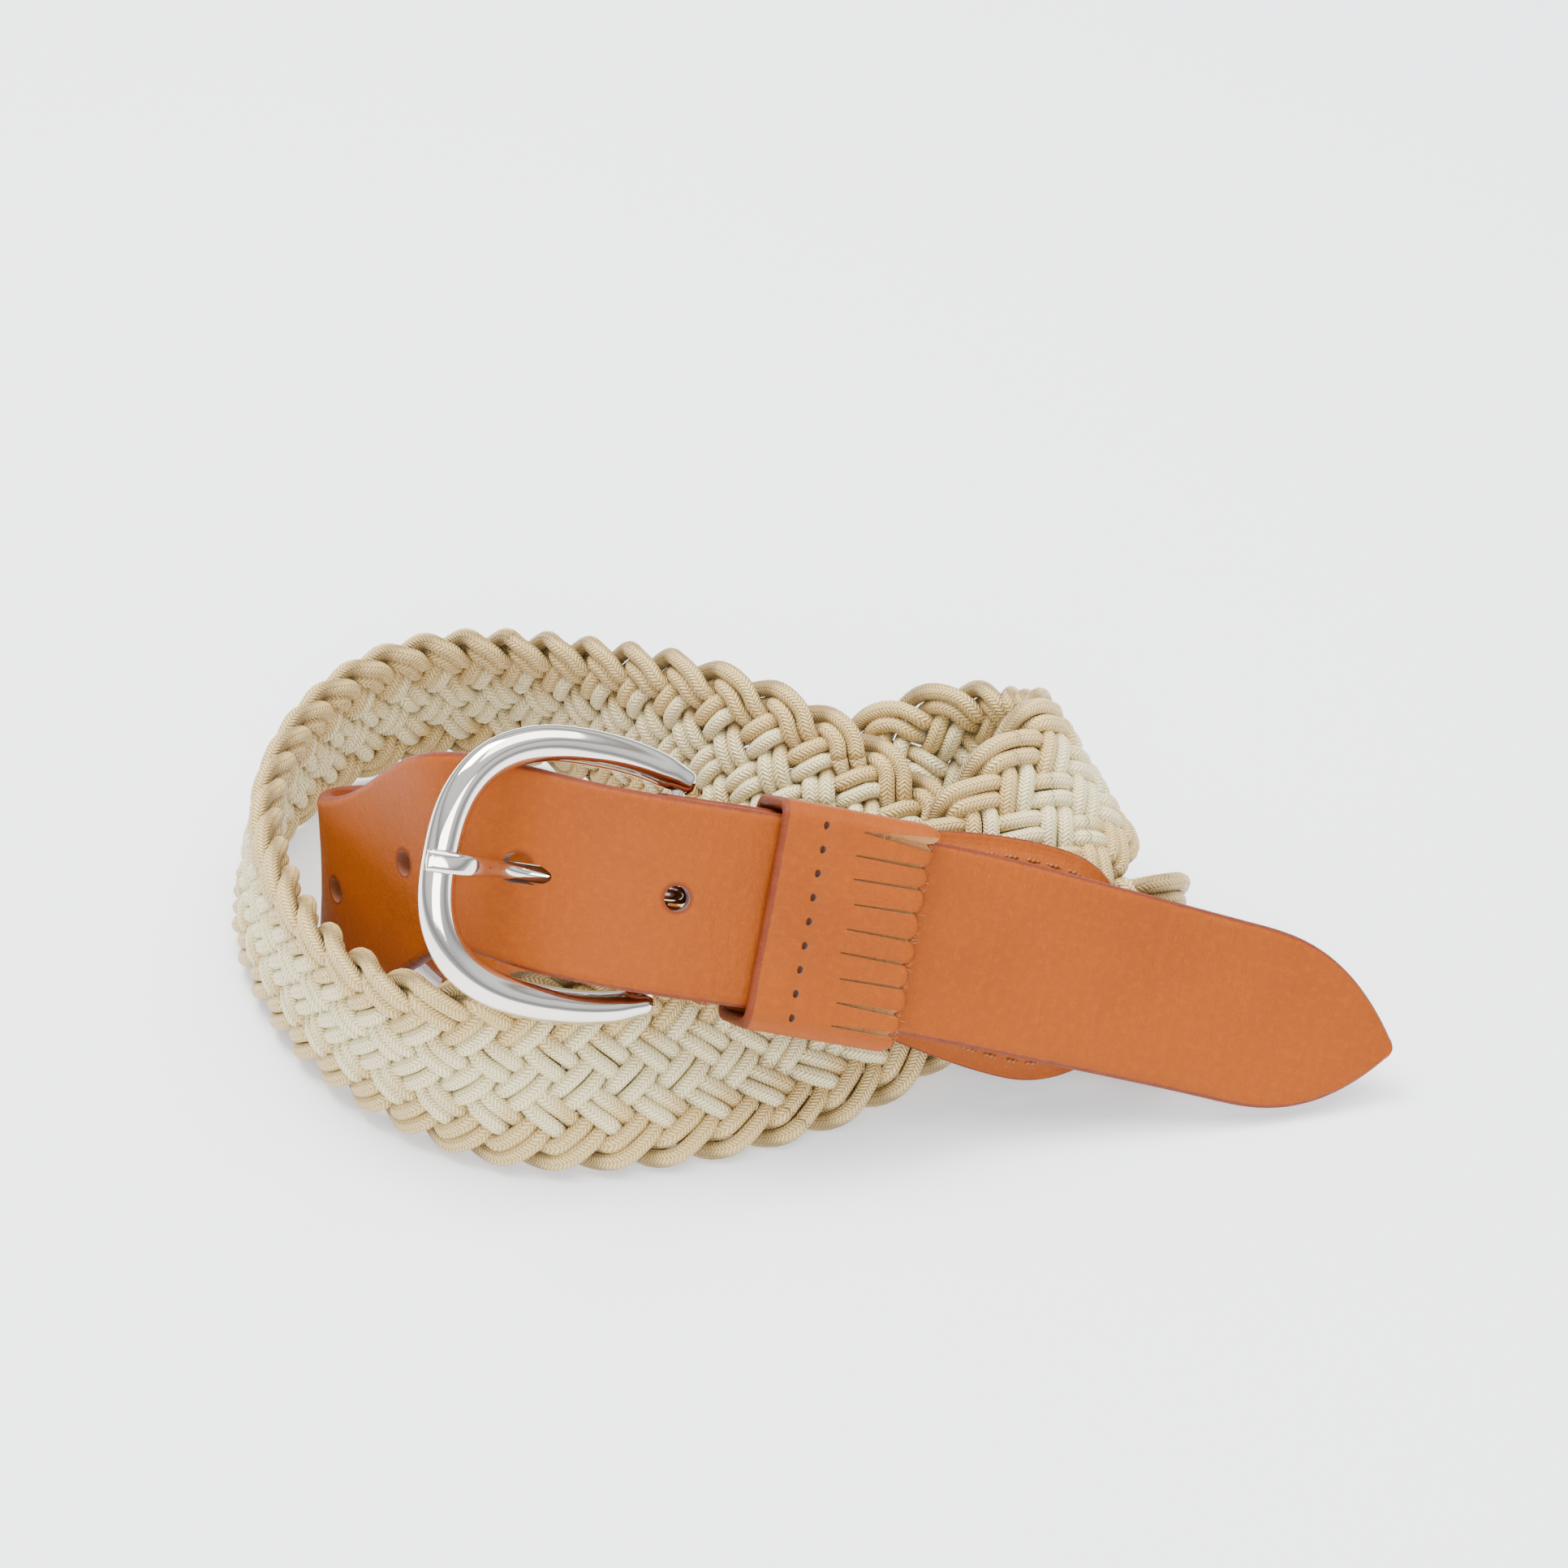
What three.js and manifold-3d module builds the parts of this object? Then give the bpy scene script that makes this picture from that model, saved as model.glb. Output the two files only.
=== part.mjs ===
// A braided elastic-cord belt with leather ends, buckled and rolled into a double coil.
// Millimetres, +Z up. The coil stands on Z = 0, its buckle side faces -Y and its tip points to +X.
import * as THREE from 'three';
import { mergeVertices } from 'three/addons/utils/BufferGeometryUtils.js';
import Module from 'manifold-3d';

const wasm = await Module();
wasm.setup();

// ---------------------------------------------------------------- driving dimensions
const GAP = 0.3;                 // clearance between touching pieces
const JOINT_GAP = 0.5;           // the same, where the belt twists strongly

const STRAP_WIDTH = 30;          // leather billet and tab neck
const BILLET_THICKNESS = 3.0;
const TAB_PLY = 1.4;             // one leg of the folded buckle tab
const TAB_LENGTH = 76;           // heel bar to the round end
const TAB_NECK = 28;             // straight part next to the bar
const TAB_FULLEST = 59;          // distance from the bar where the tab is widest
const TAB_MAX_WIDTH = 37;
const PADDLE_ROUNDNESS = 2.4;    // exponent of the round end's outline

const BRAID_WIDTH = 29.4;
const BRAID_THICKNESS = 4.6;
const BRAID_START = 26;          // from the bar, between the tab's two legs
const BRAID_LAP = 24;            // braid held inside the billet's joint
const BRAID_SECTIONS = 9;
const BRAID_COLUMNS = 4;         // flats across each sheet's section, more where it twists
const BILLET_COLUMNS = 5;
const TAB_COLUMNS = 3;
const TIP_COLUMNS = 2;

const BILLET_LENGTH = 268.5;     // pointed tip to the joint's round end
const BILLET_TIP_TAPER = 24;
const BILLET_TIP_POWER = 2.6;
const JOINT_LENGTH = 40;         // billet leather that covers the braid's end
const JOINT_MAX_WIDTH = 36;
const JOINT_FULLEST = 14;        // from the joint's round end to its widest part
const FIRST_HOLE = 117.7;        // from the tip
const HOLE_PITCH = 24;
const HOLE_COUNT = 5;
const PRONG_HOLE = 1;            // the second hole is the one in use
const HOLE_RADIUS = 1.95;
const PUNCH_LENGTH = 8;          // tool that makes a hole, longer than the leather is thick
const FLEX_FROM_TIP = 78;        // line across which the free end is lifted

const FRAME_HALF_SPAN = 19.6;    // centre line of the horseshoe, across the strap
const FRAME_BOW_CENTRE = -15.2;  // along the strap from the bar, where the bow begins
const FRAME_BOW_DEPTH = 21;      // from there to the bow's front
const FRAME_BOW_SQUARENESS = 3;  // exponent of the bow's outline
const FRAME_LEG_END = 18.3;      // half the distance between the leg ends' centres
const FRAME_HALF_WIDTH = 2.8;
const FRAME_HALF_DEPTH = 2.5;
const FRAME_TILT = 10.5;         // degrees, bow lifted off the strap
const FRAME_SKEW = 2;            // degrees, bow shifted towards the strap's upper edge
const LEG_END_OVERHANG = 1.9;
const LEG_END_SCALE = 0.86;
const BAR_RADIUS = 1.3;
const BAR_OVERHANG = 1.6;        // bar beyond the centre of each leg end
const BAR_SIDES = 20;
const PRONG_RADIUS = 1.35;
const PRONG_LOOP_START = 165;    // degrees round the bar, from the strap's direction
const PRONG_LOOP_TURN = 283.5;   // degrees that the loop covers
const PRONG_LOOP_STEPS = 9;
const PRONG_SWING = 4;           // degrees of play that the hole in the billet allows
const PRONG_WAY_CLEARANCE = 0.35;
const PRONG_WAY_STEPS = 4;       // positions of the swing at which the way is cut
const SLOT_BACK = -7;            // opening in the tab's fold for the prong, along the strap
const SLOT_FRONT = 6;
const SLOT_SIDE_GAP = 0.6;

const KEEPER_START = 13.6;        // left edge, from the bar
const KEEPER_BAND = 12;          // closed band
const KEEPER_LENGTH = 24.5;       // band plus fringe
const KEEPER_LEATHER = 1.9;
const KEEPER_HOLES = 9;
const KEEPER_HOLE_PITCH = 3.7;
const KEEPER_HOLE_RADIUS = 0.5;
const KEEPER_HOLE_INSET = 7;     // from the left edge
const KEEPER_FRONT = 9.5;        // inner face over the billet's grain, from the tab's mid-line
const KEEPER_SIDE_GAP = 0.9;
const KEEPER_SHIFT = -0.7;       // the billet lies slightly low in the tab's axes
const KEEPER_OUTER_CORNER = 3.2;
const KEEPER_INNER_CORNER = 1.4;
const FRINGE_LOWEST = 5.2;       // the fringe has no side walls below this height
const FRINGE_SLITS = 9;
const FRINGE_PITCH = 3.75;
const FRINGE_SLIT = 0.45;

const THREAD_RADIUS = 0.4;
const STITCH_INSET = 3;
const STITCH_END_INSET = 3.6;    // the same at a round end
const TAB_STITCH_START = 44;     // from the bar
const BAR_STITCH_AT = 10;
const BAR_STITCH_INSET = 1.2;
const JOINT_STITCH_LENGTH = 26;  // from the joint's round end
const STAPLE_RADIUS = 0.45;
const STAPLE_HALF_LENGTH = 4;
const STAPLE_INSET = 5.5;        // from the keeper's left edge

const leather = { color: 0xb8662b, roughness: 0.5, metalness: 0 };
const darkLeather = { color: 0x8a4a26, roughness: 0.6, metalness: 0 };
const cord = { color: 0xc9bd9d, roughness: 0.6, metalness: 0 };
const threadFinish = { color: 0xc08a55, roughness: 0.7, metalness: 0 };
const nickel = { color: 0xd8d4cc, roughness: 0.12, metalness: 1 };

// ---------------------------------------------------------------- the belt's route
// Control points of a uniform cubic B-spline, from just before the heel bar, twice round the coil,
// to the tip of the billet: x, y, z of the belt's mid-line, then how far the upper edge leans
// towards +x and +y for each millimetre of height.
const ROUTE = [
  [-36.5, -27.0, 43.1, 0.18, 0.75],
  // buckle tab
  [-22.8, -26.0, 39.3, 0.20, 0.75],
  [-3.4, -23.3, 33.8, 0.23, 0.75],
  [14.1, -21.4, 28.0, 0.26, 0.76],
  [29.8, -19.9, 22.3, 0.29, 0.76],
  // braid, turning back at the right
  [41.0, -19.4, 17.9, 0.30, 0.77],
  [49.3, -19.4, 15.2, 0.30, 0.78],
  [55.8, -17.8, 15.4, 0.30, 0.85],
  [55.1, -11.2, 12.5, 0.25, 1.90],
  [47.6, -7.2, 6.2, 0.10, 7.00],
  // lying down, then rising into the far side of the big loop
  [39.6, -3.9, 4.9, 0, 9.0],
  [30.0, 0.6, 5.8, 0, 3.8],
  [19.8, 7.7, 11.6, 0, 1.8],
  [7.5, 14.6, 19.3, 0, 1.2],
  [-3.2, 20.4, 22.8, 0, 0.88],
  [-15.0, 29.6, 24.0, 0, 0.55],
  [-27.8, 41.6, 19.0, 0, 0.15],
  [-40.7, 52.8, 16.3, 0, -0.15],
  [-54.6, 58.4, 15.8, 0, -0.28],
  // round the left end
  [-69.2, 56.6, 15.8, 0.10, -0.28],
  [-81.6, 45.4, 15.8, 0.22, -0.20],
  [-89.4, 27.6, 15.8, 0.28, -0.08],
  [-90.0, 6.6, 15.8, 0.20, 0],
  [-82.0, -14.8, 15.8, 0.05, 0.02],
  // front wall
  [-70.3, -31.2, 15.8, 0, -0.02],
  [-55.6, -40.4, 15.4, 0, 0],
  [-41.7, -40.4, 14.7, 0, 0.42],
  [-26.8, -36.6, 12.4, 0, 0.85],
  [-11.8, -31.6, 10.5, 0, 1.25],
  [3.2, -24.6, 10.0, 0, 1.45],
  [17.1, -15.4, 13.8, -0.12, 1.3],
  // small loop at the right
  [30.0, -6.0, 22.0, -0.30, 1.10],
  [40.1, 5.4, 31.6, -0.62, 0.85],
  [47.1, 16.0, 30.0, -0.72, 0.65],
  [44.4, 28.4, 20.9, -0.60, 0.10],
  [35.3, 36.4, 17.1, -0.10, -0.05],
  [22.5, 35.8, 14.8, 0, 0.5],
  // lying down, under the far side and into the big loop
  [8.6, 30.0, 8.6, 0, 1.8],
  [-4.3, 10.7, 5.0, 0, 9.0],
  [-16.0, -0.5, 6.9, 0, 30],
  [-28.9, -4.3, 8.7, 0, 6],
  [-41.7, -1.6, 11.3, 0, 1.7],
  // billet leather, turning back inside the left end
  [-52.4, 4.8, 13.7, 0, 0.6],
  [-62.6, 9.6, 16.3, 0, 0.1],
  [-71.7, 11.2, 16.7, 0.03, 0],
  [-77.9, 4.5, 18.4, 0.06, 0.05],
  [-73.8, -4.8, 22.3, 0.05, 0.18],
  [-65.8, -12.8, 30.0, 0.05, 0.36],
  [-58.3, -19.5, 42.6, 0.05, 0.36],
  [-51.4, -25.3, 47.4, 0.10, 0.52],
  [-37.2, -31.9, 46.7, 0.16, 0.72],
  // over the heel bar and through the keeper
  [-21.3, -32.2, 43.3, 0.18, 0.75],
  [-6.9, -30.1, 39.1, 0.22, 0.77],
  [8.6, -28.5, 34.4, 0.24, 0.77],
  [24.3, -26.7, 29.2, 0.26, 0.77],
  [41.8, -25.9, 23.2, 0.26, 0.77],
  [60.3, -25.2, 17.0, 0.26, 0.77],
  [78.6, -25.0, 10.9, 0.26, 0.77],
  [92.6, -24.7, 6.5, 0.26, 0.77],
  [106.6, -24.4, 2.1, 0.26, 0.77],
];
const BAR_STATION = 1;           // index in ROUTE at which the heel bar sits

const vec = (x, y, z) => new THREE.Vector3(x, y, z);

function routePoint(u) {
  const cell = Math.min(Math.max(Math.floor(u), 1), ROUTE.length - 3);
  const f = u - cell;
  const weights = [
    (1 - f) ** 3,
    3 * f ** 3 - 6 * f ** 2 + 4,
    -3 * f ** 3 + 3 * f ** 2 + 3 * f + 1,
    f ** 3,
  ];
  return ROUTE[0].map((_, k) => weights.reduce((sum, wt, j) => sum + wt * ROUTE[cell - 1 + j][k], 0) / 6);
}

// The belt's frame at route parameter u: p on the mid-line, t along it, w up its width, n out of
// its grain side.
function frameAtParameter(u) {
  const [x, y, z, leanX, leanY] = routePoint(u);
  const ahead = routePoint(u + 0.01);
  const behind = routePoint(u - 0.01);
  const t = vec(ahead[0] - behind[0], ahead[1] - behind[1], ahead[2] - behind[2]).normalize();
  const w = vec(leanX, leanY, 1);
  w.addScaledVector(t, -w.dot(t)).normalize();
  const n = vec().crossVectors(t, w);
  return { p: vec(x, y, z), t, w, n };
}

// Distance along the mid-line from the heel bar, tabulated once.
const TABLE_STEP = 1 / 32;
const arcTable = [];
for (let u = BAR_STATION, s = 0, last = null; u <= ROUTE.length - 2.02; u += TABLE_STEP) {
  const p = frameAtParameter(u).p;
  s += last ? p.distanceTo(last) : 0;
  arcTable.push({ s, u });
  last = p;
}
const ROUTE_LENGTH = arcTable[arcTable.length - 1].s;

function beltAt(s) {
  const i = Math.min(Math.max(arcTable.findIndex((row) => row.s >= s), 1), arcTable.length - 1);
  const a = arcTable[i - 1];
  const b = arcTable[i];
  const u = a.u + ((s - a.s) / (b.s - a.s)) * (b.u - a.u);
  return frameAtParameter(u);
}

const TIP_S = ROUTE_LENGTH;
const fromTip = (distance) => TIP_S - distance;
const JOINT_END = fromTip(BILLET_LENGTH);
const BRAID_END = JOINT_END + BRAID_LAP;

// ---------------------------------------------------------------- mesh tools
function closedMesh(rings) {
  const sides = rings[0].length;
  const positions = rings.flat().flatMap((p) => [p.x, p.y, p.z]);
  const index = [];
  for (let i = 0; i + 1 < rings.length; i += 1) {
    for (let k = 0; k < sides; k += 1) {
      const a = i * sides + k;
      const b = i * sides + ((k + 1) % sides);
      index.push(a, b, b + sides, a, b + sides, a + sides);
    }
  }
  const last = (rings.length - 1) * sides;
  for (let k = 1; k + 1 < sides; k += 1) {
    index.push(0, k + 1, k, last, last + k, last + k + 1);
  }
  const geometry = new THREE.BufferGeometry();
  geometry.setAttribute('position', new THREE.Float32BufferAttribute(positions, 3));
  geometry.setIndex(index);
  return geometry;
}

function toManifold(source) {
  const geometry = source.clone();
  geometry.deleteAttribute('normal');
  geometry.deleteAttribute('uv');
  const merged = mergeVertices(geometry, 1e-4);
  return new wasm.Manifold(new wasm.Mesh({
    numProp: 3,
    vertProperties: new Float32Array(merged.attributes.position.array),
    triVerts: new Uint32Array(merged.index.array),
  }));
}

function fromManifold(solid) {
  const mesh = solid.getMesh();
  const geometry = new THREE.BufferGeometry();
  geometry.setAttribute('position', new THREE.Float32BufferAttribute(mesh.vertProperties, 3));
  geometry.setIndex(Array.from(mesh.triVerts));
  return geometry;
}

function cut(geometry, tools) {
  let solid = toManifold(geometry);
  for (const tool of tools) {
    solid = solid.subtract(toManifold(tool));
  }
  return fromManifold(solid);
}

// Corner points of a flat section with softened edges, in (across, through) units.
function strapSection(halfWidth, halfThickness, columns) {
  const edge = Math.min(halfThickness * 0.6, halfWidth * 0.4);
  const flat = halfWidth - edge;
  const acrossAt = Array.from({ length: columns + 1 }, (_, i) => -flat + (2 * flat * i) / columns);
  return [
    ...acrossAt.map((across) => [across, -halfThickness]),
    [halfWidth, -halfThickness + edge],
    [halfWidth, halfThickness - edge],
    ...acrossAt.reverse().map((across) => [across, halfThickness]),
    [-halfWidth, halfThickness - edge],
    [-halfWidth, -halfThickness + edge],
  ];
}

// A strap-like sheet through frames {p, w, n, halfWidth, thickness}.
function sheet(frames, columns) {
  const rings = frames.map((f) => strapSection(f.halfWidth, f.thickness / 2, columns)
    .map(([across, through]) => f.p.clone().addScaledVector(f.w, across).addScaledVector(f.n, through)));
  return closedMesh(rings);
}

function strapFrame(s, halfWidth, thickness, offset = 0) {
  const f = beltAt(s);
  return { p: f.p.addScaledVector(f.n, offset), w: f.w, n: f.n, halfWidth, thickness };
}

// Values from a to b, closer together near the end that is rounded.
function spread(a, b, count) {
  return Array.from({ length: count + 1 }, (_, i) => a + (b - a) * Math.sin((i / count) * (Math.PI / 2)));
}

// Stations from a to b: far apart where the belt runs straight, close where it bends or twists.
const LONGEST_STEP = 6.5;
const LARGEST_TURN = THREE.MathUtils.degToRad(11);
function followingBends(a, b) {
  const stations = [a];
  let last = beltAt(a);
  for (let s = a + 0.5; s < b - 1; s += 0.5) {
    const f = beltAt(s);
    const turn = last.n.angleTo(f.n) + last.t.angleTo(f.t) / 2;
    if (turn > LARGEST_TURN || s - stations[stations.length - 1] >= LONGEST_STEP) {
      stations.push(s);
      last = f;
    }
  }
  return stations.concat(b);
}

function evenly(a, b, step) {
  const count = Math.max(1, Math.round(Math.abs(b - a) / step));
  return Array.from({ length: count + 1 }, (_, i) => a + ((b - a) * i) / count);
}

// A round wire through points, as an extrusion of a polygon along a path.
function wire(points, radius, sides = 8, steps = points.length * 2, closed = false) {
  const outline = new THREE.Shape();
  for (let k = 0; k < sides; k += 1) {
    const angle = (k / sides) * Math.PI * 2;
    const move = k === 0 ? 'moveTo' : 'lineTo';
    outline[move](radius * Math.cos(angle), radius * Math.sin(angle));
  }
  outline.closePath();
  const path = new THREE.CatmullRomCurve3(points, closed, 'centripetal');
  return new THREE.ExtrudeGeometry(outline, { steps, extrudePath: path, bevelEnabled: false });
}

// ---------------------------------------------------------------- the buckle's own axes
const bar = beltAt(0);
const buckleFrame = new THREE.Matrix4().makeBasis(bar.t, bar.w, bar.n).setPosition(bar.p);
const tilted = buckleFrame.clone()
  .multiply(new THREE.Matrix4().makeRotationZ(THREE.MathUtils.degToRad(-FRAME_SKEW)))
  .multiply(new THREE.Matrix4().makeRotationY(THREE.MathUtils.degToRad(FRAME_TILT)));
// Buckle coordinates: along the strap, up the width, out of the grain.
const atBuckle = (along, up, out) => vec(along, up, out).applyMatrix4(buckleFrame);

function cylinderAcross(matrix, radius, length, sides) {
  return new THREE.CylinderGeometry(radius, radius, length, sides).applyMatrix4(matrix);
}

function makeHeelBar() {
  const length = 2 * (FRAME_LEG_END + BAR_OVERHANG);
  return cylinderAcross(buckleFrame, BAR_RADIUS, length, BAR_SIDES);
}

// Centre line of the horseshoe from the lower leg's end, round the bow, to the upper leg's end,
// with the section's scale.
function horseshoeStations() {
  const stations = [];
  const legSteps = 5;
  const bowSteps = 20;
  const legCurve = (f) => {
    const ease = f * f * (3 - 2 * f);
    return FRAME_HALF_SPAN - (FRAME_HALF_SPAN - FRAME_LEG_END) * ease;
  };
  for (let i = legSteps; i > 0; i -= 1) {
    const f = i / legSteps;
    const along = FRAME_BOW_CENTRE + (LEG_END_OVERHANG - FRAME_BOW_CENTRE) * f;
    stations.push({ along, up: -legCurve(f), scale: 1 - (1 - LEG_END_SCALE) * f });
  }
  for (let i = 0; i <= bowSteps; i += 1) {
    const angle = -Math.PI / 2 - (i / bowSteps) * Math.PI;
    const square = (v) => Math.sign(v) * Math.abs(v) ** (2 / FRAME_BOW_SQUARENESS);
    stations.push({
      along: FRAME_BOW_CENTRE + FRAME_BOW_DEPTH * square(Math.cos(angle)),
      up: FRAME_HALF_SPAN * square(Math.sin(angle)),
      scale: 1,
    });
  }
  for (let i = 1; i <= legSteps; i += 1) {
    const f = i / legSteps;
    const along = FRAME_BOW_CENTRE + (LEG_END_OVERHANG - FRAME_BOW_CENTRE) * f;
    stations.push({ along, up: legCurve(f), scale: 1 - (1 - LEG_END_SCALE) * f });
  }
  return stations;
}

function makeBuckleFrame(prongTool) {
  const stations = horseshoeStations();
  const sides = 12;
  const rings = stations.map((st, i) => {
    const a = stations[Math.max(i - 1, 0)];
    const b = stations[Math.min(i + 1, stations.length - 1)];
    const heading = vec(b.along - a.along, b.up - a.up, 0).normalize();
    const side = vec(-heading.y, heading.x, 0);
    return Array.from({ length: sides }, (_, k) => {
      const angle = (k / sides) * Math.PI * 2;
      const across = FRAME_HALF_WIDTH * st.scale * Math.cos(angle);
      const through = FRAME_HALF_DEPTH * st.scale * Math.sin(angle);
      return vec(st.along, st.up, 0).addScaledVector(side, across).add(vec(0, 0, through));
    });
  });
  const body = closedMesh(rings).applyMatrix4(tilted);
  const boreLength = 2 * FRAME_LEG_END + 6 * FRAME_HALF_WIDTH;
  const bore = cylinderAcross(buckleFrame, BAR_RADIUS + GAP, boreLength, BAR_SIDES);
  return cut(body, [bore, prongTool]);
}

// The prong: a loop round the bar, a flat run under the billet, a rise through the hole, and a
// flat tip on the bow.
const LOOP_RADIUS = BAR_RADIUS + GAP + PRONG_RADIUS;
const PRONG_LINE = [
  [-6, 3.0],
  [-12, 2.8],
  [-17.5, 2.2],
  [-21.5, 1.9],
  [-25, 2.8],
  [-28, 5.0],
  [-30.5, 7.4],
  [-33.2, 9.2],
  [-38, 9.6],
];
function prongPoints() {
  const points = [];
  for (let i = 0; i <= PRONG_LOOP_STEPS; i += 1) {
    const angle = THREE.MathUtils.degToRad(PRONG_LOOP_START + (i / PRONG_LOOP_STEPS) * PRONG_LOOP_TURN);
    points.push(atBuckle(LOOP_RADIUS * Math.cos(angle), 0, LOOP_RADIUS * Math.sin(angle)));
  }
  for (const [along, out] of PRONG_LINE) {
    points.push(atBuckle(along, 0, out));
  }
  return points;
}
const prongWire = () => wire(prongPoints(), PRONG_RADIUS, 8, 40);
function prongSweep(clearance, degrees, from) {
  const line = PRONG_LINE.slice(from).map(([along, out]) => vec(along, 0, out));
  const turn = new THREE.Matrix4().makeRotationY(THREE.MathUtils.degToRad(degrees));
  const points = line.map((p) => p.applyMatrix4(turn).applyMatrix4(buckleFrame));
  return wire(points, PRONG_RADIUS + clearance, 8, 14);
}

// ---------------------------------------------------------------- leather tab
function paddleHalfWidth(s, neck, fullest, end, neckHalf, fullHalf) {
  if (s <= neck) {
    return neckHalf;
  }
  if (s <= fullest) {
    const f = (s - neck) / (fullest - neck);
    return neckHalf + (fullHalf - neckHalf) * Math.sin(f * (Math.PI / 2)) ** 1.5;
  }
  const d = Math.min((s - fullest) / (end - fullest), 0.999);
  return Math.max(fullHalf * (1 - d ** PADDLE_ROUNDNESS) ** (1 / PADDLE_ROUNDNESS), 1.2);
}
const tabHalfWidth = (s) => paddleHalfWidth(
  s, TAB_NECK, TAB_FULLEST, TAB_LENGTH, STRAP_WIDTH / 2, TAB_MAX_WIDTH / 2,
);
const FOLD_RADIUS = LOOP_RADIUS - PRONG_RADIUS + TAB_PLY / 2 + 0.1;
const TAB_OFFSET = BRAID_THICKNESS / 2 + GAP + TAB_PLY / 2;
function legOffset(s) {
  const f = Math.min(Math.max((s - 4) / (BRAID_START - 6), 0), 1);
  return FOLD_RADIUS + (TAB_OFFSET - FOLD_RADIUS) * f * f * (3 - 2 * f);
}
function tabLegStations() {
  const neck = evenly(3, TAB_NECK, 8);
  const flare = evenly(TAB_NECK, TAB_FULLEST, 5).slice(1);
  const round = spread(TAB_FULLEST, TAB_LENGTH - 0.2, 7).slice(1);
  return neck.concat(flare, round);
}
function makeTab() {
  const stations = tabLegStations();
  const inner = stations.slice().reverse()
    .map((s) => ({ ...strapFrame(s, tabHalfWidth(s), TAB_PLY, -legOffset(s)) }));
  for (const f of inner) {
    f.n = f.n.clone().negate();
  }
  const fold = [];
  for (let i = 1; i < 10; i += 1) {
    const angle = -Math.PI / 2 - (i / 10) * Math.PI;
    const n = bar.t.clone().multiplyScalar(Math.cos(angle)).addScaledVector(bar.n, Math.sin(angle));
    fold.push({
      p: bar.p.clone().addScaledVector(n, FOLD_RADIUS),
      w: bar.w,
      n,
      halfWidth: STRAP_WIDTH / 2,
      thickness: TAB_PLY,
    });
  }
  const outer = stations.map((s) => strapFrame(s, tabHalfWidth(s), TAB_PLY, legOffset(s)));
  const slotWidth = 2 * (PRONG_RADIUS + SLOT_SIDE_GAP);
  const slot = new THREE.BoxGeometry(SLOT_FRONT - SLOT_BACK, slotWidth, 4 * LOOP_RADIUS)
    .translate((SLOT_FRONT + SLOT_BACK) / 2, 0, 0).applyMatrix4(buckleFrame);
  return cut(sheet([...inner, ...fold, ...outer], TAB_COLUMNS), [slot]);
}

// A thread that follows a paddle's outline at a constant inset, just above the leather.
function outlineThread(halfWidthAt, stations, offset, place) {
  const lower = stations.map((s) => place(s, -(halfWidthAt(s) - STITCH_INSET), offset));
  const upper = stations.slice().reverse().map((s) => place(s, halfWidthAt(s) - STITCH_INSET, offset));
  const points = lower.concat(upper);
  return wire(points, THREAD_RADIUS, 6, points.length);
}
const onBelt = (s, across, offset) => {
  const f = beltAt(s);
  return f.p.addScaledVector(f.w, across).addScaledVector(f.n, offset);
};
function makeTabStitching() {
  const stations = evenly(TAB_STITCH_START, TAB_FULLEST, 3)
    .concat(spread(TAB_FULLEST, TAB_LENGTH - STITCH_END_INSET, 6).slice(1));
  const height = TAB_OFFSET + TAB_PLY / 2 + THREAD_RADIUS + 0.1;
  return outlineThread(tabHalfWidth, stations, height, onBelt);
}
function makeBarStitching() {
  const height = legOffset(BAR_STITCH_AT) + TAB_PLY / 2 + THREAD_RADIUS + 0.1;
  const half = STRAP_WIDTH / 2 - BAR_STITCH_INSET;
  const points = [-half, 0, half].map((across) => onBelt(BAR_STITCH_AT, across, height));
  return wire(points, THREAD_RADIUS, 6, 6);
}

// ---------------------------------------------------------------- billet
function billetHalfWidth(s) {
  const d = Math.min(fromTip(0) - s, BILLET_TIP_TAPER);
  return Math.max((STRAP_WIDTH / 2) * (1 - (1 - d / BILLET_TIP_TAPER) ** BILLET_TIP_POWER), 0.7);
}
const JOINT_S = JOINT_END + JOINT_LENGTH;
const JOINT_OFFSET = BRAID_THICKNESS / 2 + JOINT_GAP + TAB_PLY / 2;
const jointHalfWidth = (s) => paddleHalfWidth(
  -s, -JOINT_S, -(JOINT_END + JOINT_FULLEST), -JOINT_END, STRAP_WIDTH / 2, JOINT_MAX_WIDTH / 2,
);
function jointBlend(s) {
  const f = Math.min(Math.max((s - BRAID_END) / (JOINT_S - BRAID_END), 0), 1);
  return f * f * (3 - 2 * f);
}
const jointStations = () => spread(JOINT_END + JOINT_FULLEST, JOINT_END + 0.2, 7).reverse()
  .concat(evenly(JOINT_END + JOINT_FULLEST, JOINT_S, 2.6).slice(1));

function makeBilletStrap(prongTools) {
  const flex = fromTip(FLEX_FROM_TIP) - GAP / 2;
  const joint = jointStations().map((s) => {
    const f = jointBlend(s);
    const thickness = TAB_PLY + (BILLET_THICKNESS - TAB_PLY) * f;
    return strapFrame(s, jointHalfWidth(s), thickness, JOINT_OFFSET * (1 - f));
  });
  const run = followingBends(JOINT_S, flex).slice(1)
    .map((s) => strapFrame(s, STRAP_WIDTH / 2, BILLET_THICKNESS));
  const holes = [];
  for (let i = 0; i < HOLE_COUNT; i += 1) {
    if (i !== PRONG_HOLE) {
      holes.push(punch(fromTip(FIRST_HOLE + i * HOLE_PITCH)));
    }
  }
  return cut(sheet([...joint, ...run], BILLET_COLUMNS), holes.concat(prongTools));
}
function punch(s) {
  const f = beltAt(s);
  const matrix = new THREE.Matrix4().makeBasis(f.w, f.n, f.t).setPosition(f.p);
  return new THREE.CylinderGeometry(HOLE_RADIUS, HOLE_RADIUS, PUNCH_LENGTH, 16).applyMatrix4(matrix);
}
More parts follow.
